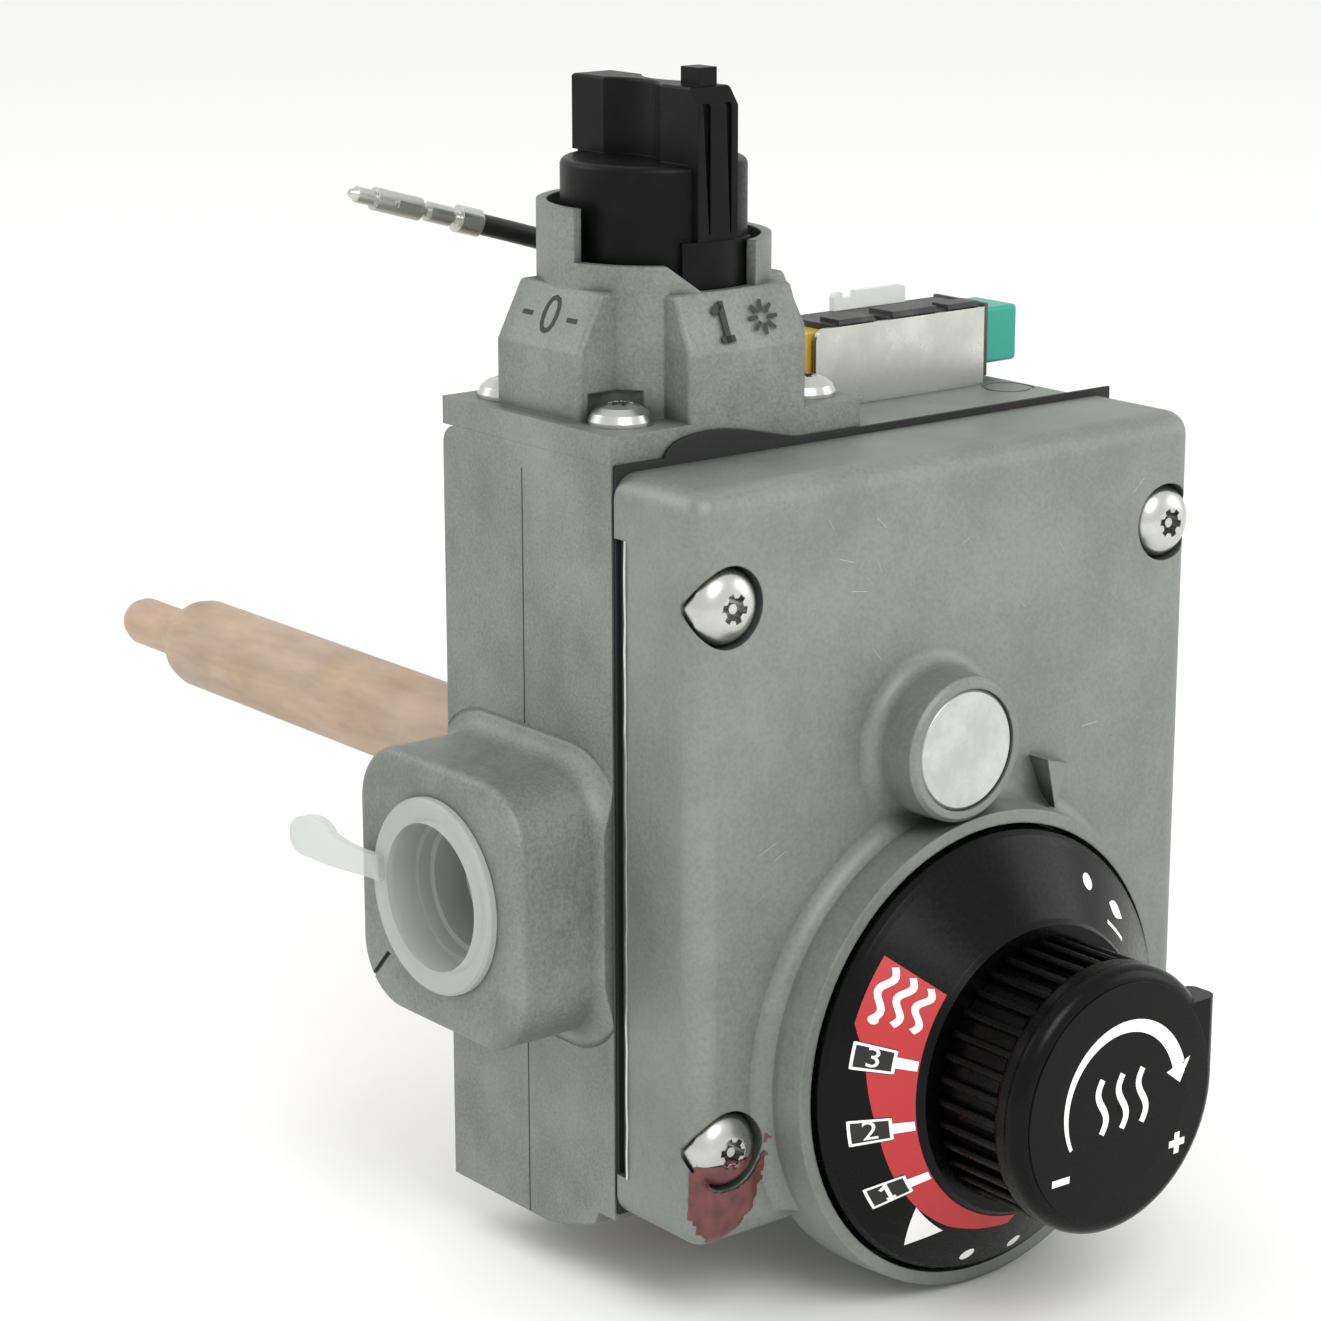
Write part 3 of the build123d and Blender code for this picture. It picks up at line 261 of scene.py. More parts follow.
def make_materials():
    """One material for each slot of the record, and the inks."""
    return {
        # The third colour of each casting is painted shade, laid into its corners and crevices.
        "casting": cast_aluminium("Shot-blasted die-cast aluminium", ("#6C716B", "#878C85"), "#454A45",
                                  grain_mm=0.42, depth_mm=0.12, roughness=0.55),
        "cover_casting": cast_aluminium("Smooth die-cast aluminium", ("#747973", "#858A84"), "#4F544F",
                                        grain_mm=0.55, depth_mm=0.05, roughness=0.5),
        "black_plastic": moulded_plastic("Moulded black acetal", "#0A090A", 0.4, scuff="#141213", sheen=0.12),
        "dial_plastic": moulded_plastic("Moulded black ABS", "#040404", 0.24, sheen=0.14),
        "zinc_steel": plated_steel("Bright zinc-plated steel", ("#C6C7C1", "#B6B7B1"), 0.3, cell_mm=8.0),
        "spring_steel": plated_steel("Drawn spring steel", ("#A8A9A8", "#7E8080"), 0.35),
        "brass": plated_steel("Turned brass", ("#C9A45C", "#AD8A48"), 0.3),
        "rubber": moulded_plastic("Moulded nitrile rubber", "#0E0E0E", 0.6),
        "gasket": moulded_plastic("Gasket rubber", "#101011", 0.62),
        "copper": drawn_copper("Drawn copper tube"),
        "invar": plated_steel("Drawn nickel iron", ("#B4B2AC", "#93918C"), 0.38),
        "plug_plastic": clouded_polyethylene("Clouded polyethylene plug", "#C0C5C0", 0.48, 0.34),
        "sleeve_plastic": clouded_polyethylene("Clouded polyethylene sleeve", "#ECECE8", 0.93, 0.22),
        "silver_disc": brushed_disc("Bright aluminium disc"),
        "teal_plastic": moulded_plastic("Moulded teal plastic", "#17917F", 0.35),
        "amber_plastic": clouded_polyethylene("Amber moulded resin", "#C7A23E", 0.08, 0.3),
        "clear_plastic": clouded_polyethylene("Clear moulded resin", "#D8DBD6", 0.4, 0.2),
        "grey_plastic": moulded_plastic("Moulded grey nylon", "#2A2A2B", 0.5, scuff="#4A4947"),
        "wire_jacket": moulded_plastic("Silicone wire jacket", "#0B0B0B", 0.38),
        "white_ink": flat_ink_or_shade("White pad-printed ink", "#F2F2EE"),
        "red_ink": flat_ink_or_shade("Red pad-printed ink", "#B3262B", 0.42),
        "black_ink": flat_ink_or_shade("Black pad-printed ink", "#0A0A0A", 0.3),
        # Painted shade: one flat grey-green colour stands in for the shade inside the collar's engraved
        # grooves.
        "painted_engraving_shade": flat_ink_or_shade("Shadowed engraving", "#33372F", 0.85),
        # The bared metal colour is real on the cover scratches and a painted highlight on the slot's edge.
        "bare_metal_and_highlight": plated_steel("Bared aluminium and painted highlight", ("#D0D3CD", "#BEC2BB"), 0.36),
        "lacquer": seal_lacquer("Maroon tamper lacquer"),
    }


MATERIALS = {}


def paint_cad_nodes():
    for part in frame["record"]["subparts"]:
        mesh = frame["nodes"][part["node"]].data
        mesh.materials.clear()
        mesh.materials.append(MATERIALS[part["material_slot"]])


# ---------------------------------------------------------------- pieces from points
def piece(name, points, faces, material, body, smooth=False):
    """A mesh object at the origin that rides on a body."""
    mesh = bpy.data.meshes.new(name)
    mesh.from_pydata([tuple(p) for p in points], [], faces)
    mesh.validate()
    mesh.materials.append(MATERIALS[material])
    mesh.shade_smooth() if smooth else mesh.shade_flat()
    made = bpy.data.objects.new(name, mesh)
    bpy.context.scene.collection.objects.link(made)
    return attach(made, body) or made


class Sheet:
    """Collects flat shapes on a mapped surface: each shape is drawn in (across, up), in millimetres."""

    def __init__(self, mapping):
        self.mapping = mapping
        self.points = []
        self.faces = []

    def strip(self, pairs):
        """Quads between successive pairs of points."""
        first = len(self.points)
        for a, b in pairs:
            self.points += [self.mapping(*a), self.mapping(*b)]
        for i in range(len(pairs) - 1):
            k = first + 2 * i
            self.faces.append((k, k + 1, k + 3, k + 2))

    def fan(self, centre, rim):
        first = len(self.points)
        self.points += [self.mapping(*p) for p in [centre] + rim]
        count = len(rim)
        self.faces += [(first, first + 1 + i, first + 1 + (i + 1) % count) for i in range(count)]

    def dot(self, centre, radius, steps=24):
        turns = [2 * math.pi * i / steps for i in range(steps)]
        rim = [(centre[0] + radius * math.cos(t), centre[1] + radius * math.sin(t)) for t in turns]
        self.fan(centre, rim)

    def line(self, path, width):
        """A stroke of even width along a path of points."""
        pairs = []
        for i, (x, y) in enumerate(path):
            before, after = path[max(i - 1, 0)], path[min(i + 1, len(path) - 1)]
            along = Vector((after[0] - before[0], after[1] - before[1])).normalized() * width / 2
            pairs.append(((x + along.y, y - along.x), (x - along.y, y + along.x)))
        self.strip(pairs)

    def bar(self, x0, x1, y0, y1):
        steps = max(2, int((y1 - y0) / 0.8))
        levels = [y0 + (y1 - y0) * i / steps for i in range(steps + 1)]
        self.strip([((x0, y), (x1, y)) for y in levels])

    def text(self, words, size, centre=(0, 0), turned=0.0):
        """A plain numeral or sign in the built-in font."""
        curve = bpy.data.curves.new("sign", "FONT")
        curve.body, curve.size = words, size
        curve.align_x, curve.align_y = "CENTER", "CENTER"
        curve.resolution_u = 3
        sign = bpy.data.objects.new("sign", curve)
        bpy.context.scene.collection.objects.link(sign)
        mesh = bpy.data.meshes.new_from_object(sign.evaluated_get(bpy.context.evaluated_depsgraph_get()))
        first = len(self.points)
        turn = math.radians(turned)
        for v in mesh.vertices:
            x, y = v.co.x, v.co.y
            self.points.append(self.mapping(centre[0] + x * math.cos(turn) - y * math.sin(turn),
                                            centre[1] + x * math.sin(turn) + y * math.cos(turn)))
        self.faces += [tuple(first + i for i in f.vertices) for f in mesh.polygons]
        bpy.data.objects.remove(sign)
        bpy.data.curves.remove(curve)
        bpy.data.meshes.remove(mesh)

    def numeral(self, number, size, centre=(0, 0)):
        """A numeral; the built-in font's one is a bare bar, so that one is drawn with a flag and a foot."""
        if number != "1":
            self.text(number, size, centre)
            return
        x, half, stroke = centre[0], 0.36 * size, 0.12 * size
        self.bar(x - stroke / 2, x + stroke / 2, -half, half)
        self.line([(x - 0.2 * size, half - 0.2 * size), (x, half - stroke / 2)], stroke)
        self.bar(x - 0.14 * size, x + 0.14 * size, -half, stroke - half)

    def finish(self, name, material, body, facing):
        """Makes the piece, turning any face that looks away from the facing direction."""
        made = piece(name, self.points, self.faces, material, body)
        for face in made.data.polygons:
            if face.normal.dot(facing(face.center)) < 0:
                face.flip()
        made.data.update()
        return made


def wave(length, height, turns, steps=16):
    """A wavy stroke along x, centred on nought."""
    parts = [i / steps for i in range(steps + 1)]
    return [(length * (part - 0.5), height * math.sin(2 * math.pi * turns * part)) for part in parts]


# ---------------------------------------------------------------- temperature dial marks
CONE_OUT, CONE_IN = (27.2, -58.5), (18.9, -64.7)
CONE_RUN = Vector((CONE_OUT[0] - CONE_IN[0], CONE_OUT[1] - CONE_IN[1]))
CONE_NORMAL = Vector((CONE_RUN.y, -CONE_RUN.x)).normalized()


def cone_point(radius, degrees, lift=INK):
    """Point on the dial's cone, at an angle measured from +X and anticlockwise from the front."""
    y = CONE_IN[1] + (radius - CONE_IN[0]) * CONE_RUN.y / CONE_RUN.x
    turn = math.radians(degrees)
    out = radius * MM + CONE_NORMAL.x * lift
    return Vector((DIAL_X + out * math.cos(turn), y * MM + CONE_NORMAL.y * lift,
                   DIAL_Z + out * math.sin(turn)))


def cone_patch(radius, degrees, lift=INK):
    """Mapping for marks that read inwards: across runs to the centre, up runs clockwise."""
    def mapping(across, up):
        return cone_point(radius - across, degrees - math.degrees(up / radius), lift)
    return mapping


def from_dial(centre):
    return Vector((centre.x - DIAL_X, -0.03, centre.z - DIAL_Z))


def red_band():
    """Red block that narrows into the hot end's band."""
    outline = [(138.5, 26.3), (158.0, 26.3), (166.0, 24.5), (189.0, 22.9), (239.0, 22.0), (264.0, 20.7)]
    sheet = Sheet(lambda radius, degrees: cone_point(radius, degrees))
    pairs = []
    for (a0, r0), (a1, r1) in zip(outline, outline[1:]):
        steps = max(2, int((a1 - a0) / 2.5))
        for i in range(steps):
            part = i / steps
            angle = a0 + (a1 - a0) * part
            pairs.append(((19.15, angle), (r0 + (r1 - r0) * part, angle)))
    pairs.append(((19.15, 264.0), (20.7, 264.0)))
    sheet.strip(pairs)
    return sheet.finish("dial_red_band", "red_ink", "dial", from_dial)


def numbered_boxes(settings):
    """Black boxes with a white rim and numeral, and the bar that leads in from each."""
    centres = (166.3, 188.8, 211.1)
    black = Sheet(None)
    white = Sheet(None)
    for number, degrees in zip("321", centres):
        black.mapping = cone_patch(23.7, degrees, 2 * INK)
        black.bar(-2.2, 2.2, -1.7, 1.7)
        white.mapping = cone_patch(23.7, degrees, 3 * INK)
        for x in (-2.05, 2.05):
            white.bar(x - 0.16, x + 0.16, -1.55, 1.55)
        for y in (-1.44, 1.44):
            white.bar(-2.05, 2.05, y - 0.16, y + 0.16)
        white.numeral(number, settings.numeral_mm)
        white.bar(2.2, 4.4, -0.75, 0.75)
    black.finish("dial_box_fields", "black_ink", "dial", from_dial)
    white.finish("dial_numbers", "white_ink", "dial", from_dial)


def dial_symbols():
    """Start mark, dots, triangle, heat waves and a small flame."""
    sheet = Sheet(None)
    dots = ((24.1, 58.0, 0.95), (24.7, 155.5, 0.55), (25.8, -102.0, 0.95), (25.8, -84.0, 0.95))
    for radius, degrees, size in dots:
        sheet.mapping = cone_patch(radius, degrees)
        sheet.dot((0, 0), size)
    sheet.mapping = lambda radius, degrees: cone_point(radius, degrees, 3 * INK)
    corners = [(22.3, -138.0), (22.7, -121.3), (26.4, -126.4)]
    middle = (sum(c[0] for c in corners) / 3, sum(c[1] for c in corners) / 3)
    rim = []
    for (r0, a0), (r1, a1) in zip(corners, corners[1:] + corners[:1]):
        rim += [(r0 + (r1 - r0) * i / 6, a0 + (a1 - a0) * i / 6) for i in range(6)]
    sheet.fan(middle, rim)
    # Three heat waves on the red block
    for step in (-1, 0, 1):
        sheet.mapping = cone_patch(22.8, 147.5, 2 * INK)
        path = [(y + 2.0 * step, x) for x, y in wave(6.2, 0.5, 1.5, 20)]
        sheet.line(path, 0.75)
    # Flame beside the start mark: two curved sides that meet in a point
    sheet.mapping = cone_patch(23.6, 42.0)
    side = [(1.15 * math.sin(math.pi * t) * (1 - 0.35 * t), -1.7 + 3.6 * t)
            for t in (i / 10 for i in range(11))]
    sheet.strip([((-x, y), (x, y)) for x, y in side])
    sheet.mapping = cone_patch(21.0, 42.0)
    sheet.bar(-0.25, 0.25, -2.0, 2.0)
    sheet.finish("dial_symbols", "white_ink", "dial", from_dial)


def face_point(across, up):
    """Point just above the domed knob face."""
    radius = math.hypot(across, up)
    dome = -80.3 + 0.1 * min(radius, 11) / 11 + 0.18 * max(radius - 11, 0) / 4.15
    return Vector((DIAL_X + across * MM, max(dome * MM - 0.02 * MM, FACE_LOW.y), DIAL_Z + up * MM))


def knob_face_marks():
    """Wedge-shaped arc with an arrow head, plus and minus signs, and heat waves."""
    sheet = Sheet(face_point)
    pairs = []
    for i in range(41):
        turn = math.radians(205 - 190 * i / 40)
        inner, outer = 9.0, 9.5 + 1.6 * i / 40
        pairs.append(((inner * math.cos(turn), inner * math.sin(turn)),
                      (outer * math.cos(turn), outer * math.sin(turn))))
    sheet.strip(pairs)
    tip = math.radians(2)
    base = math.radians(16)
    head = [(radius * math.cos(turn), radius * math.sin(turn))
            for radius, turn in ((7.9, base), (12.2, base), (10.0, tip))]
    sheet.fan(tuple(sum(axis) / 3 for axis in zip(*head)), head)
    for step in range(3):
        path = [(-3.4 + 3.4 * step + y, x + 0.4) for x, y in wave(7.0, 0.7, 1.0, 20)]
        sheet.line(path, 0.95)
    sheet.bar(-11.3, -8.5, -8.0, -7.1)
    sheet.bar(8.5, 11.3, -8.0, -7.1)
    sheet.bar(9.45, 10.35, -8.95, -6.15)
    sheet.finish("knob_face_marks", "white_ink", "dial", lambda centre: Vector((0, -1, 0)))


# ---------------------------------------------------------------- engraved collar marks, laid as painted shade
def facet_mapping(low, high, across):
    """Mapping on a sloped facet from its lower and upper middle, with the across direction."""
    low, high, across = Vector(low) * MM, Vector(high) * MM, Vector(across)
    up = (high - low).normalized()
    normal = across.cross(up).normalized()
    middle = (low + high) / 2

    def mapping(x, y):
        return middle + across * x * MM + up * y * MM + normal * INK
    return mapping, normal


def collar_marks(settings):
    """Engraved numerals and signs, laid as flat marks of painted shade for the grooves: 0 at the left, 1 with a
    spark in front and 2 at the right.
    """
    kx, ky = KNOB_X / MM, KNOB_Y / MM
    facets = {
        "0": ((kx - 18.0, ky + 0.25, FACET_LOW), (kx - 14.3, ky + 0.25, 79.7), (0, -1, 0)),
        "1": ((kx + 1.1, ky - 17.1, FACET_LOW), (kx + 1.1, ky - 14.1, 79.5), (1, 0, 0)),
        "2": ((kx + 18.0, ky + 0.25, FACET_LOW), (kx + 14.3, ky + 0.25, 79.7), (0, 1, 0)),
    }
    for number, (low, high, across) in facets.items():
        mapping, normal = facet_mapping(low, high, across)
        sheet = Sheet(mapping)
        centre = -3.0 if number == "1" else 0.0
        sheet.numeral(number, settings.engraving_mm, (centre, 0))
        if number == "1":
            for k in range(8):
                turn = math.pi * k / 4
                ray = (math.cos(turn), math.sin(turn))
                sheet.line([(3.0 + 0.8 * ray[0], 0.8 * ray[1]), (3.0 + 2.2 * ray[0], 2.2 * ray[1])], 0.5)
        if number == "0":
            sheet.line([(-5.4, 0), (-3.4, 0)], 0.6)
            sheet.line([(3.4, 0), (5.4, 0)], 0.6)
        # Painted shade: the marks lie flat on the facet, and their grey-green colour stands in for the shade in
        # the engraved grooves.
        sheet.finish("collar_mark_" + number, "painted_engraving_shade", "casing", lambda centre, n=normal: n)


# ---------------------------------------------------------------- lacquer, wear and a painted highlight
def skin_of(*nodes):
    """Search tree over some CAD nodes."""
    points, faces = [], []
    for name in nodes:
        mesh = frame["nodes"][name].data
        first = len(points)
        points += [v.co.copy() for v in mesh.vertices]
        faces += [tuple(first + i for i in f.vertices) for f in mesh.polygons]
    return BVHTree.FromPolygons(points, faces)


LACQUER_EDGES = ((-12.5, -1.6, -1.6), (-10.0, -4.2, 2.0), (-7.0, -5.3, 4.5), (-1.1, -5.8, 5.5))
DRIBBLE = (Vector((4.0, -1.5)), Vector((5.1, 0.8)))


def lacquer_thickness(x, z):
    """Thickness of the lacquer at a place from the screw's middle, both in millimetres."""
    wobble = 0.22 * math.sin(1.9 * x + 0.6 * z) + 0.16 * math.sin(3.7 * z + 1.0)
    low, high = LACQUER_EDGES[0][0], LACQUER_EDGES[-1][0]
    inside = -1.0
    for (z0, left0, right0), (z1, left1, right1) in zip(LACQUER_EDGES, LACQUER_EDGES[1:]):
        if z0 <= z <= z1:
            part = (z - z0) / (z1 - z0)
            left, right = left0 + (left1 - left0) * part, right0 + (right1 - right0) * part
            inside = min(x - left, right - x, z - low, high - z) + wobble
    along = DRIBBLE[1] - DRIBBLE[0]
    place = Vector((x, z)) - DRIBBLE[0]
    part = max(0.0, min(1.0, place.dot(along) / along.length_squared))
    return max(min(inside, 1.0), 0.4 - (place - along * part).length)


def tamper_lacquer():
    """Lacquer brushed over the lower left cover screw, lying on whatever is under it."""
    skin = skin_of("front_cover", "cover_screws")
    centre = Vector((-36.2, 0, -21.5))
    step, columns, rows = 0.3, range(-22, 30), range(-42, 16)
    points, index, faces = [], {}, []
    for i in columns:
        for j in rows:
            depth = lacquer_thickness(i * step, j * step)
            if depth < -step:
                continue
            start_at = Vector(((centre.x + i * step) * MM, -0.07, (centre.z + j * step) * MM))
            hit = skin.ray_cast(start_at, Vector((0, 1, 0)))[0]
            if hit is None or hit.y > FURTHEST_SKIN:
                continue
            if math.hypot(i * step, j * step) < COUNTERBORE_R:
                hit.y = min(hit.y, COVER_FRONT + 1.0 * MM)
            index[i, j] = len(points)
            points.append(hit + Vector((0, -1, 0)) * (0.03 + 0.28 * max(depth, 0) ** 0.5) * MM)
    for i, j in index:
        corners = [(i, j), (i + 1, j), (i + 1, j + 1), (i, j + 1)]
        if all(c in index for c in corners):
            faces.append([index[c] for c in corners])
    made = piece("tamper_lacquer", points, faces, "lacquer", "casing", smooth=True)
    for face in made.data.polygons:
        if face.normal.y > 0:
            face.flip()
    return made


def group(name, sockets):
    """A geometry node tree with named inputs and one geometry output."""
    tree = bpy.data.node_groups.new(name, "GeometryNodeTree")
    for label, kind, value in sockets:
        socket = tree.interface.new_socket(label, in_out="INPUT", socket_type=kind)
        if value is not None:
            socket.default_value = value
    tree.interface.new_socket("Geometry", in_out="OUTPUT", socket_type="NodeSocketGeometry")
    return tree, tree.nodes.new("NodeGroupInput"), tree.nodes.new("NodeGroupOutput")


def apply_tree(name, tree, material, body, values):
    """Runs a geometry node tree once and keeps its result as a plain mesh piece."""
    holder = bpy.data.objects.new(name + "_maker", bpy.data.meshes.new(name + "_maker"))
    bpy.context.scene.collection.objects.link(holder)
    modifier = holder.modifiers.new("Maker", "NODES")
    modifier.node_group = tree
    for socket in tree.interface.items_tree:
        if socket.in_out == "INPUT" and socket.name in values:
            modifier[socket.identifier] = values[socket.name]
    depsgraph = bpy.context.evaluated_depsgraph_get()
    mesh = bpy.data.meshes.new_from_object(holder.evaluated_get(depsgraph))
    holder.modifiers.remove(modifier)
    bpy.data.objects.remove(holder)
    mesh.name = name
    mesh.materials.clear()
    mesh.materials.append(MATERIALS[material])
    made = bpy.data.objects.new(name, mesh)
    bpy.context.scene.collection.objects.link(made)
    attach(made, body)
    return made


def scratch_tree():
    """Fine scratches strewn over a flat face: a seeded scatter of thin slivers."""
    tree, given, result = group("Scratches", [
        ("Width", "NodeSocketFloat", 0.07), ("Height", "NodeSocketFloat", 0.07),
        ("Count", "NodeSocketFloat", 900.0), ("Length", "NodeSocketFloat", 0.003),
        ("Breadth", "NodeSocketFloat", 0.00012), ("Seed", "NodeSocketInt", 4),
        ("Centre", "NodeSocketVector", (0, 0, 0)), ("Material", "NodeSocketMaterial", None)])
    ports = given.outputs
    field = add(tree, "GeometryNodeMeshGrid", {"Size X": ports["Width"], "Size Y": ports["Height"],
                                               "Vertices X": 2, "Vertices Y": 2})
    upright = add(tree, "GeometryNodeTransform", {"Geometry": field.outputs["Mesh"],
                                                  "Translation": ports["Centre"],
                                                  "Rotation": (math.radians(90), 0, 0)})
    strewn = add(tree, "GeometryNodeDistributePointsOnFaces", {"Mesh": upright.outputs[0],
                                                               "Density": ports["Count"],
                                                               "Seed": ports["Seed"]})
    sliver = add(tree, "GeometryNodeMeshGrid", {"Size X": ports["Length"], "Size Y": ports["Breadth"],
                                                "Vertices X": 2, "Vertices Y": 2})
    stand = add(tree, "GeometryNodeTransform", {"Geometry": sliver.outputs["Mesh"],
                                                "Rotation": (math.radians(90), 0, 0)})
    most = 1.2
    lean = add(tree, "FunctionNodeRandomValue",
               {0: (0.0, -most, 0.0), 1: (0.0, most, 0.0), "Seed": ports["Seed"]}, data_type="FLOAT_VECTOR")
    size = add(tree, "FunctionNodeRandomValue", {2: 0.15, 3: 1.0, "Seed": ports["Seed"]}, data_type="FLOAT")
    placed = add(tree, "GeometryNodeInstanceOnPoints", {"Points": strewn.outputs["Points"],
                                                        "Instance": stand.outputs[0],
                                                        "Rotation": lean.outputs[0], "Scale": size.outputs[1]})
    real = add(tree, "GeometryNodeRealizeInstances", {"Geometry": placed.outputs[0]})
    painted = add(tree, "GeometryNodeSetMaterial", {"Geometry": real.outputs[0],
                                                    "Material": ports["Material"]})
    tree.links.new(painted.outputs[0], result.inputs[0])
    return tree


def cover_scratches(settings):
    middle = (COVER_LOW + COVER_HIGH) / 2
    return apply_tree("cover_scratches", scratch_tree(), "bare_metal_and_highlight", "casing", {
        "Width": 0.066, "Height": 0.07, "Count": settings.scratch_density,
        "Length": 0.0028, "Breadth": 0.00005, "Seed": 11,
        "Centre": (middle.x, COVER_FRONT - INK / 2, 20 * MM), "Material": MATERIALS["bare_metal_and_highlight"]})


def painted_slot_highlight():
    """Thin bright strip along the front edge of the vent slot: a painted highlight where the edge catches
    light.
    """
    x, y0, y1, z0, z1 = -41.2 * MM, -37.05 * MM, -36.72 * MM, -28.3 * MM, 52.4 * MM
    points, faces = [], []
    steps = 24
    for i in range(steps + 1):
        z = z0 + (z1 - z0) * i / steps
        proud = (0.2 + 0.07 * math.sin(2.3 * i)) * MM
        points += [(x + 0.3 * MM, y0, z), (x - proud, y0, z), (x - proud, y1, z), (x + 0.3 * MM, y1, z)]
    for i in range(steps):
        for k in range(4):
            a, b = 4 * i + k, 4 * i + (k + 1) % 4
            faces.append((a, a + 4, b + 4, b))
    faces += [(0, 1, 2, 3), tuple(4 * steps + k for k in (3, 2, 1, 0))]
    made = piece("painted_slot_highlight", points, faces, "bare_metal_and_highlight", "casing")
    make_outward(made)
    return made


def make_outward(made):
    work = bmesh.new()
    work.from_mesh(made.data)
    bmesh.ops.recalc_face_normals(work, faces=work.faces)
    work.to_mesh(made.data)
    work.free()


# ---------------------------------------------------------------- igniter lead
LEAD = [(0.8, -14.2, 66.9), (0.8, -7.2, 68.9), (-5.2, -1.2, 73.9), (-13.2, 2.8, 78.4), (-21.2, 4.3, 81.4),
        (-31.6, 5.3, 84.4)]


def igniter_lead(settings):
    """Lead from the igniter's end block to its crimped terminal."""
    curve = bpy.data.curves.new("igniter_lead", "CURVE")
    curve.dimensions = "3D"
    spline = curve.splines.new("NURBS")
    spline.points.add(len(LEAD) - 1)
    for point, place in zip(spline.points, LEAD):
        point.co = (*(c * MM for c in place), 1)
    spline.order_u = 3
    spline.use_endpoint_u = True
    spline.resolution_u = 12
    curve.bevel_depth = settings.lead_diameter / 2
    curve.bevel_resolution = 8
    curve.use_fill_caps = True
    curve.materials.append(MATERIALS["wire_jacket"])
    lead = bpy.data.objects.new("igniter_lead", curve)
    bpy.context.scene.collection.objects.link(lead)
    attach(lead, "casing")
    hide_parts("lead_wire")
    return lead


# ---------------------------------------------------------------- stage
def soft_light(name, place, target, size, power):
    light = bpy.data.lights.new(name, "AREA")
    light.shape, light.size, light.energy = "DISK", size, power
    made = bpy.data.objects.new(name, light)
    made.location = place
    made.rotation_mode = "QUATERNION"
    made.rotation_quaternion = (Vector(target) - Vector(place)).to_track_quat("-Z", "Y")
    bpy.context.scene.collection.objects.link(made)


def pale_floor(settings):
    low = min(BODY_LOW.z, COVER_LOW.z) - 0.2 * MM
    mesh = bpy.data.meshes.new("floor")
    half = 6.0
    mesh.from_pydata([(-half, -half, low), (half, -half, low), (half, half, low), (-half, half, low)], [],
                     [(0, 1, 2, 3)])
    paint = start("Pale floor paint", Base_Color=linear(settings.floor_colour_hex), Roughness=0.9)[0]
    mesh.materials.append(paint)
    floor = bpy.data.objects.new("floor", mesh)
    bpy.context.scene.collection.objects.link(floor)


def studio(settings):
    world = bpy.data.worlds.new("Pale studio")
    world.use_nodes = True
    world.node_tree.nodes["Background"].inputs[0].default_value = (1, 1, 1, 1)
    world.node_tree.nodes["Background"].inputs[1].default_value = settings.world_strength
    bpy.context.scene.world = world
    middle = (CAD_BOX[0] + CAD_BOX[1]) / 2
    soft_light("Key", (-0.25, -0.75, 0.75), middle, 0.55, settings.key_power)
    soft_light("Fill", (0.8, -0.5, 0.3), middle, 0.6, settings.key_power * 0.35)
    soft_light("Back", (-0.5, 0.6, 0.6), middle, 0.5, settings.key_power * 0.45)
    bpy.context.scene.view_settings.view_transform = "Standard"


def camera(settings):
    lens = bpy.data.cameras.new("Camera")
    lens.sensor_width = 36.0
    lens.lens = settings.lens_mm
    lens.clip_start, lens.clip_end = 0.01, 50
    made = bpy.data.objects.new("Camera", lens)
    across, up = math.radians(settings.azimuth), math.radians(settings.elevation)
    back = Vector((math.sin(across) * math.cos(up), -math.cos(across) * math.cos(up), math.sin(up)))
    made.location = settings.camera_place
    made.rotation_mode = "QUATERNION"
    roll = Quaternion((0, 0, 1), math.radians(settings.roll))
    made.rotation_quaternion = (-back).to_track_quat("-Z", "Y") @ roll
    bpy.context.scene.collection.objects.link(made)
    bpy.context.scene.camera = made


# ---------------------------------------------------------------- settings and operators
class ValveSettings(bpy.types.PropertyGroup):
    """Sizes of the marks and pieces."""

    numeral_mm: bpy.props.FloatProperty(name="Box numeral", description="Numeral height on the dial, in mm",
                                        default=3.5)
    engraving_mm: bpy.props.FloatProperty(name="Engraved numeral",
                                          description="Numeral height on the collar, in mm",
                                          default=7.2)
    lead_diameter: bpy.props.FloatProperty(name="Lead diameter", description="Outside of the lead's jacket",
                                           default=2.7 * MM, unit="LENGTH", precision=4)
    scratch_density: bpy.props.FloatProperty(name="Scratches",
                                             description="Scratches in a square metre of cover",
                                             default=9000.0)


class StudioSettings(bpy.types.PropertyGroup):
    """Camera, floor and lights."""

    lens_mm: bpy.props.FloatProperty(name="Lens", description="Focal length in mm on a 36 mm sensor",
                                     default=98.65)
    azimuth: bpy.props.FloatProperty(name="Azimuth", description="Degrees round from the front",
                                     default=-38.53)
    elevation: bpy.props.FloatProperty(name="Elevation", description="Degrees above the horizon",
                                       default=14.92)
    roll: bpy.props.FloatProperty(name="Roll", description="Camera roll in degrees", default=-0.09)
    camera_place: bpy.props.FloatVectorProperty(name="Camera", description="Where the camera stands",
                                                default=(-0.29633, -0.36386, 0.14841), unit="LENGTH")
    floor_colour_hex: bpy.props.StringProperty(name="Floor colour", description="Floor paint as a hex code",
                                               default="#F4F4F2")
    world_strength: bpy.props.FloatProperty(name="Room light", description="Brightness of the pale room",
                                            default=1.0)
    key_power: bpy.props.FloatProperty(name="Key light", description="Power of the key softbox", default=4.6,
                                       unit="POWER")


def valve_settings():
    return bpy.context.scene.valve_settings


def studio_settings():
    return bpy.context.scene.valve_studio


class VALVE_OT_finishes(bpy.types.Operator):
    """Gives every CAD piece its material"""

    bl_idname = "valve.finishes"
    bl_label = "Finishes"

    def execute(self, context):
        MATERIALS.update(make_materials())
        paint_cad_nodes()
        return {"FINISHED"}


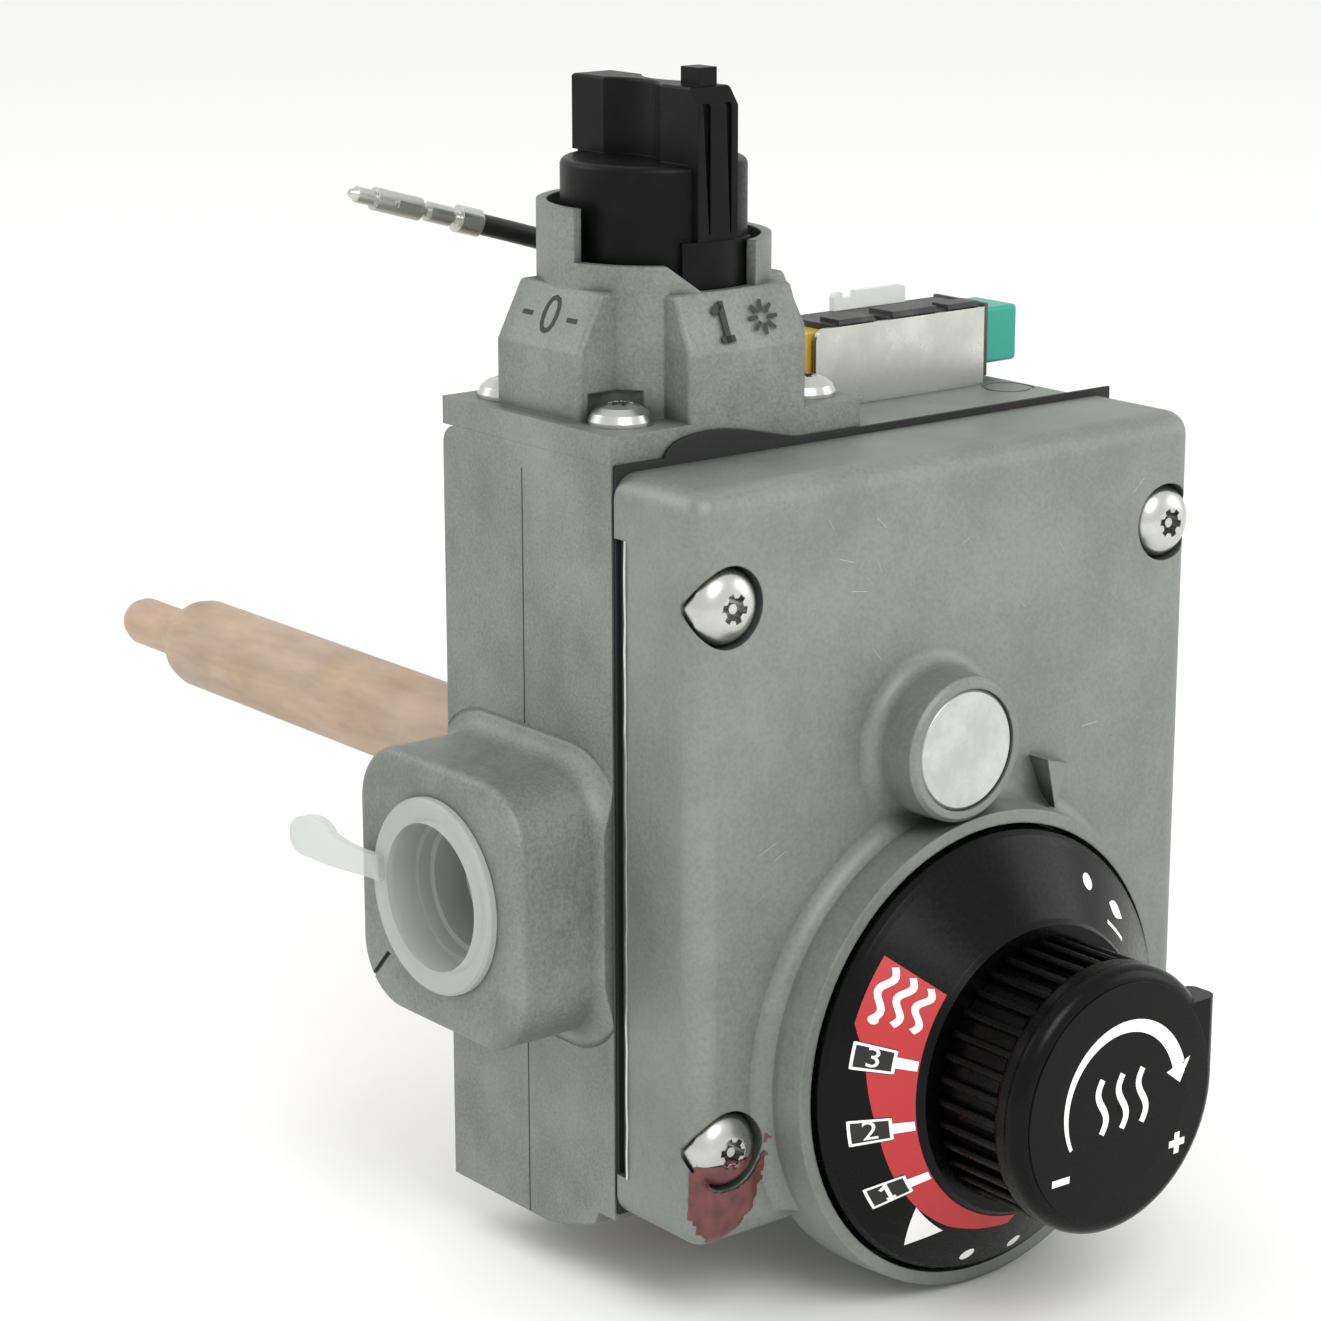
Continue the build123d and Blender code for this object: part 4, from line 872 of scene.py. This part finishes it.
class VALVE_OT_dial_marks(bpy.types.Operator):
    """Prints the marks on the temperature dial and knob"""

    bl_idname = "valve.dial_marks"
    bl_label = "Dial marks"

    def execute(self, context):
        red_band()
        numbered_boxes(valve_settings())
        dial_symbols()
        knob_face_marks()
        return {"FINISHED"}


class VALVE_OT_collar_marks(bpy.types.Operator):
    """Lays the painted shade of the knob collar's engraved marks"""

    bl_idname = "valve.collar_marks"
    bl_label = "Collar marks"

    def execute(self, context):
        collar_marks(valve_settings())
        return {"FINISHED"}


class VALVE_OT_lacquer(bpy.types.Operator):
    """Brushes tamper lacquer over one cover screw"""

    bl_idname = "valve.lacquer"
    bl_label = "Tamper lacquer"

    def execute(self, context):
        tamper_lacquer()
        return {"FINISHED"}


class VALVE_OT_wear_and_highlight(bpy.types.Operator):
    """Adds scratches and the painted highlight on the slot's edge"""

    bl_idname = "valve.wear"
    bl_label = "Wear and highlight"

    def execute(self, context):
        cover_scratches(valve_settings())
        painted_slot_highlight()
        return {"FINISHED"}


class VALVE_OT_lead(bpy.types.Operator):
    """Runs the igniter lead to its terminal"""

    bl_idname = "valve.lead"
    bl_label = "Igniter lead"

    def execute(self, context):
        igniter_lead(valve_settings())
        return {"FINISHED"}


class VALVE_OT_stage(bpy.types.Operator):
    """Sets the floor, lights and camera"""

    bl_idname = "valve.stage"
    bl_label = "Stage"

    def execute(self, context):
        pale_floor(studio_settings())
        studio(studio_settings())
        camera(studio_settings())
        return {"FINISHED"}


STEPS = (VALVE_OT_finishes, VALVE_OT_dial_marks, VALVE_OT_collar_marks, VALVE_OT_lacquer, VALVE_OT_wear_and_highlight,
         VALVE_OT_lead, VALVE_OT_stage)


class VALVE_PT_panel(bpy.types.Panel):
    """Lists the valve's steps"""

    bl_idname = "VALVE_PT_panel"
    bl_label = "Gas valve"
    bl_space_type = "VIEW_3D"
    bl_region_type = "UI"
    bl_category = "Gas valve"

    def draw(self, context):
        for step in STEPS:
            self.layout.operator(step.bl_idname)


CLASSES = (ValveSettings, StudioSettings, *STEPS, VALVE_PT_panel)


def register():
    for kind in CLASSES:
        bpy.utils.register_class(kind)
    bpy.types.Scene.valve_settings = bpy.props.PointerProperty(type=ValveSettings)
    bpy.types.Scene.valve_studio = bpy.props.PointerProperty(type=StudioSettings)


def unregister():
    del bpy.types.Scene.valve_settings
    del bpy.types.Scene.valve_studio
    for kind in reversed(CLASSES):
        bpy.utils.unregister_class(kind)


def main():
    register()
    for step in STEPS:
        family, name = step.bl_idname.split(".")
        getattr(getattr(bpy.ops, family), name)()


if __name__ == "__main__":
    main()
